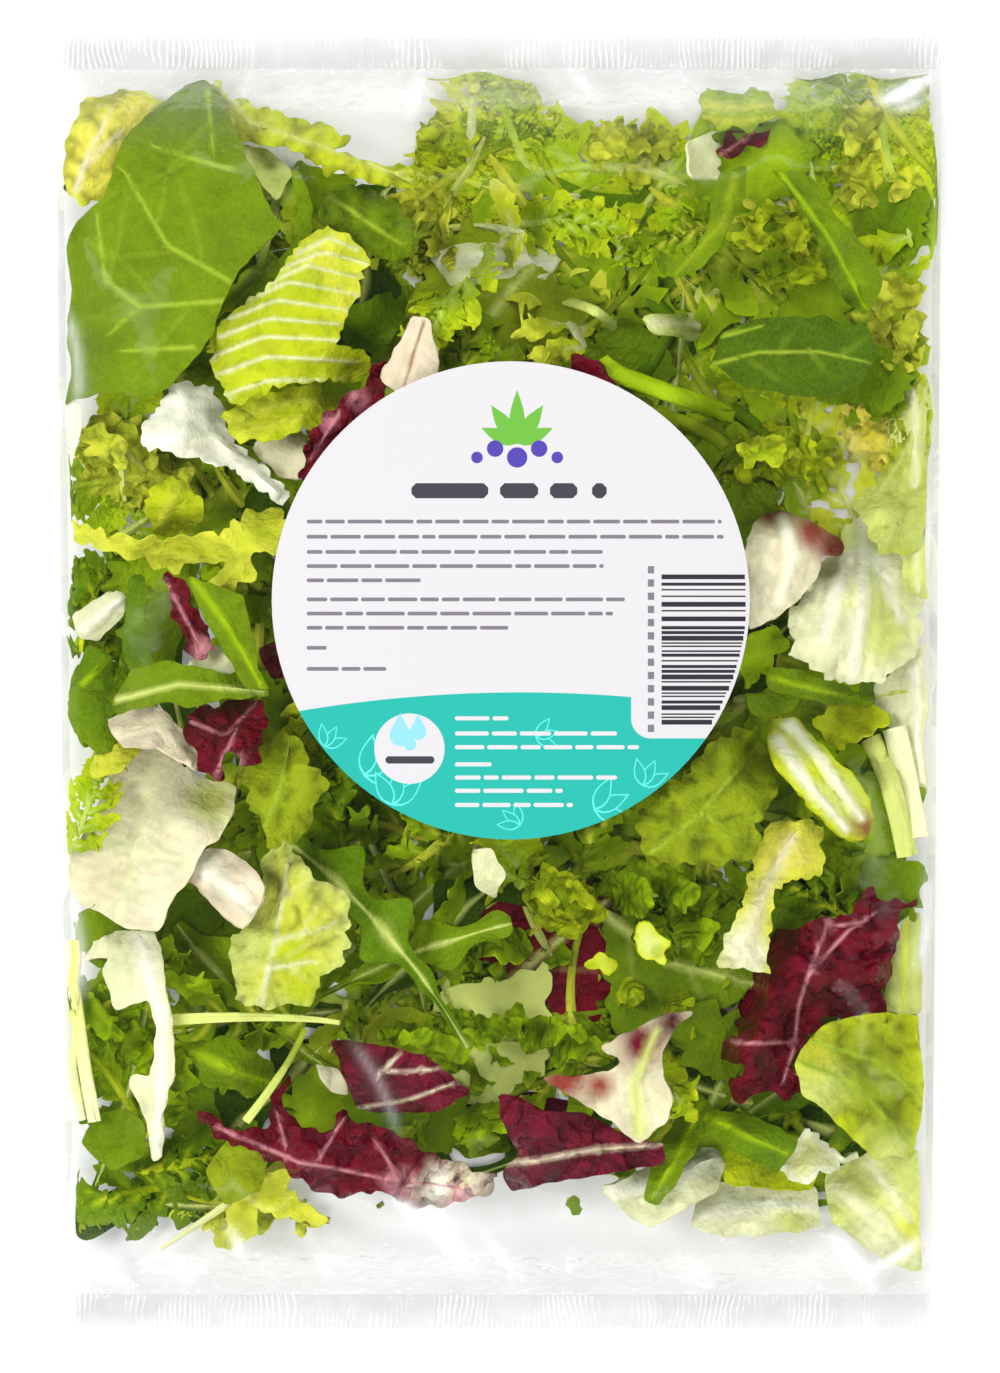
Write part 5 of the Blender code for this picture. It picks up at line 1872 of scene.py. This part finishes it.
def draped_label():
    corners, loops = [], []
    for outline, _ in drawing:
        loops.append(list(range(len(corners), len(corners) + len(outline))))
        corners += outline
    steps = np.arange(-LABEL_RADIUS, LABEL_RADIUS, DRAPE_STEP)
    net = [(x, y) for x in steps for y in steps if math.hypot(x, y) < LABEL_RADIUS - 1.5]
    flat, faces, area = triangulated(corners + net, loops, 0)
    middles = flat[faces].mean(axis=1)
    keep = (np.hypot(*middles.T) < LABEL_RADIUS - 0.01) & (np.abs(area) > 1e-7)
    faces, middles = faces[keep], middles[keep]
    inks = np.zeros(len(faces), dtype=int)
    for outline, ink in drawing:
        inks[inside(middles, np.array(outline))] = ink
    used, faces = np.unique(faces, return_inverse=True)
    faces = faces.reshape(-1, 3)
    flat = flat[used]
    x, y = flat[:, 0] + LABEL_MIDDLE[0], flat[:, 1] + LABEL_MIDDLE[1]
    z = sample(film_top, x, y) + LABEL_LIFT + PAPER_THICKNESS / 2
    return plate("label_paper", np.column_stack((x, y, z)), faces, PAPER_THICKNESS), inks


label, inks = draped_label()
label_inks = np.full(len(label.data.polygons), PAPER, dtype=np.int32)
label_inks[:len(inks)] = inks
print(f"label of {len(label.data.polygons)} triangles")


def paper_material(name, tint, roughness=0.32):
    material, tree, output = new_material(name)
    looks = {"Base Color": (*tint, 1.0), "Roughness": roughness, "Specular IOR Level": 0.4}
    tree.links.new(new_node(tree, "BsdfPrincipled", looks).outputs[0], output.inputs["Surface"])
    return material


for name, tint in (("paper_white", colour(193, 191, 193)), ("print_teal", colour(36, 160, 148)),
                   ("print_light_teal", colour(92, 200, 194)), ("print_ink", colour(60, 58, 66)),
                   ("print_grey", colour(112, 108, 116)), ("print_leaf_green", colour(98, 162, 60)),
                   ("print_violet", colour(74, 62, 150)), ("print_pale_blue", colour(128, 190, 226)),
                   ("print_bars", colour(44, 42, 48))):
    label.data.materials.append(paper_material(name, tint))
label.data.polygons.foreach_set("material_index", label_inks)
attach(label, "root")
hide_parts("label")

# %% [markdown]
# Floor, light and camera. The bag lies on a plain white table. Four large soft boxes round it light the
# leaves from all sides, and four long, narrow lights behind them draw the streaks on the creases of the
# film. The camera looks straight down, as in the photograph.

# %% Floor, light and camera
FLOOR_SIZE = 6.0
FLOOR_GLOW = 0.12
ROOM_LIGHT = 0.24
CAMERA_PLACE = (0.0002, -0.0010, 2.4)
LENS = 304.5

select_nothing()
bpy.ops.mesh.primitive_plane_add(size=FLOOR_SIZE, location=(0, 0, 0))
floor = bpy.context.object
floor.name = "floor"
floor_white = paper_material("floor_white", (0.80, 0.80, 0.80), roughness=0.9)
floor_shader = next(node for node in floor_white.node_tree.nodes if node.type == "BSDF_PRINCIPLED")
floor_shader.inputs["Emission Color"].default_value = (1.0, 1.0, 1.0, 1.0)
floor_shader.inputs["Emission Strength"].default_value = FLOOR_GLOW
floor.data.materials.append(floor_white)

world = bpy.data.worlds.new("studio")
world.use_nodes = True
world.node_tree.nodes["Background"].inputs["Color"].default_value = (1.0, 1.0, 1.0, 1.0)
world.node_tree.nodes["Background"].inputs["Strength"].default_value = ROOM_LIGHT
bpy.context.scene.world = world


def soft_light(name, place, size, power):
    bpy.ops.object.light_add(type="AREA", location=place)
    light = bpy.context.object
    light.name = name
    light.data.shape = "RECTANGLE"
    light.data.size, light.data.size_y = size
    light.data.energy = power
    light.rotation_euler = (-Vector(place)).to_track_quat("-Z", "Y").to_euler()
    return light


for name, place, size, power in (
    ("left_box", (-1.3, 0.2, 1.4), (0.8, 1.0), 27.0), ("right_box", (1.3, -0.1, 1.3), (1.0, 1.3), 11.0),
    ("head_box", (0.1, 1.3, 1.4), (1.0, 0.8), 17.0), ("foot_box", (-0.1, -1.3, 1.3), (1.2, 1.0), 18.5),
):
    # A big soft box lights the leaves and would lie on the film as a white veil, so no gloss shows it
    soft_light(name, place, size, power).visible_glossy = False
for name, place, size, power in (
    ("left_glint", (-1.5, 0.3, 1.25), (0.07, 1.2), 2.2),
    ("right_glint", (1.5, -0.2, 1.15), (0.07, 1.2), 2.2),
    ("head_glint", (0.2, 1.5, 1.2), (1.2, 0.07), 2.2),
    ("foot_glint", (-0.1, -1.5, 1.1), (1.2, 0.07), 2.2),
):
    soft_light(name, place, size, power)

bpy.ops.object.camera_add(location=CAMERA_PLACE, rotation=(0, 0, 0))
camera = bpy.context.object
camera.data.lens = LENS
bpy.context.scene.camera = camera
bpy.context.scene.view_settings.view_transform = "Standard"
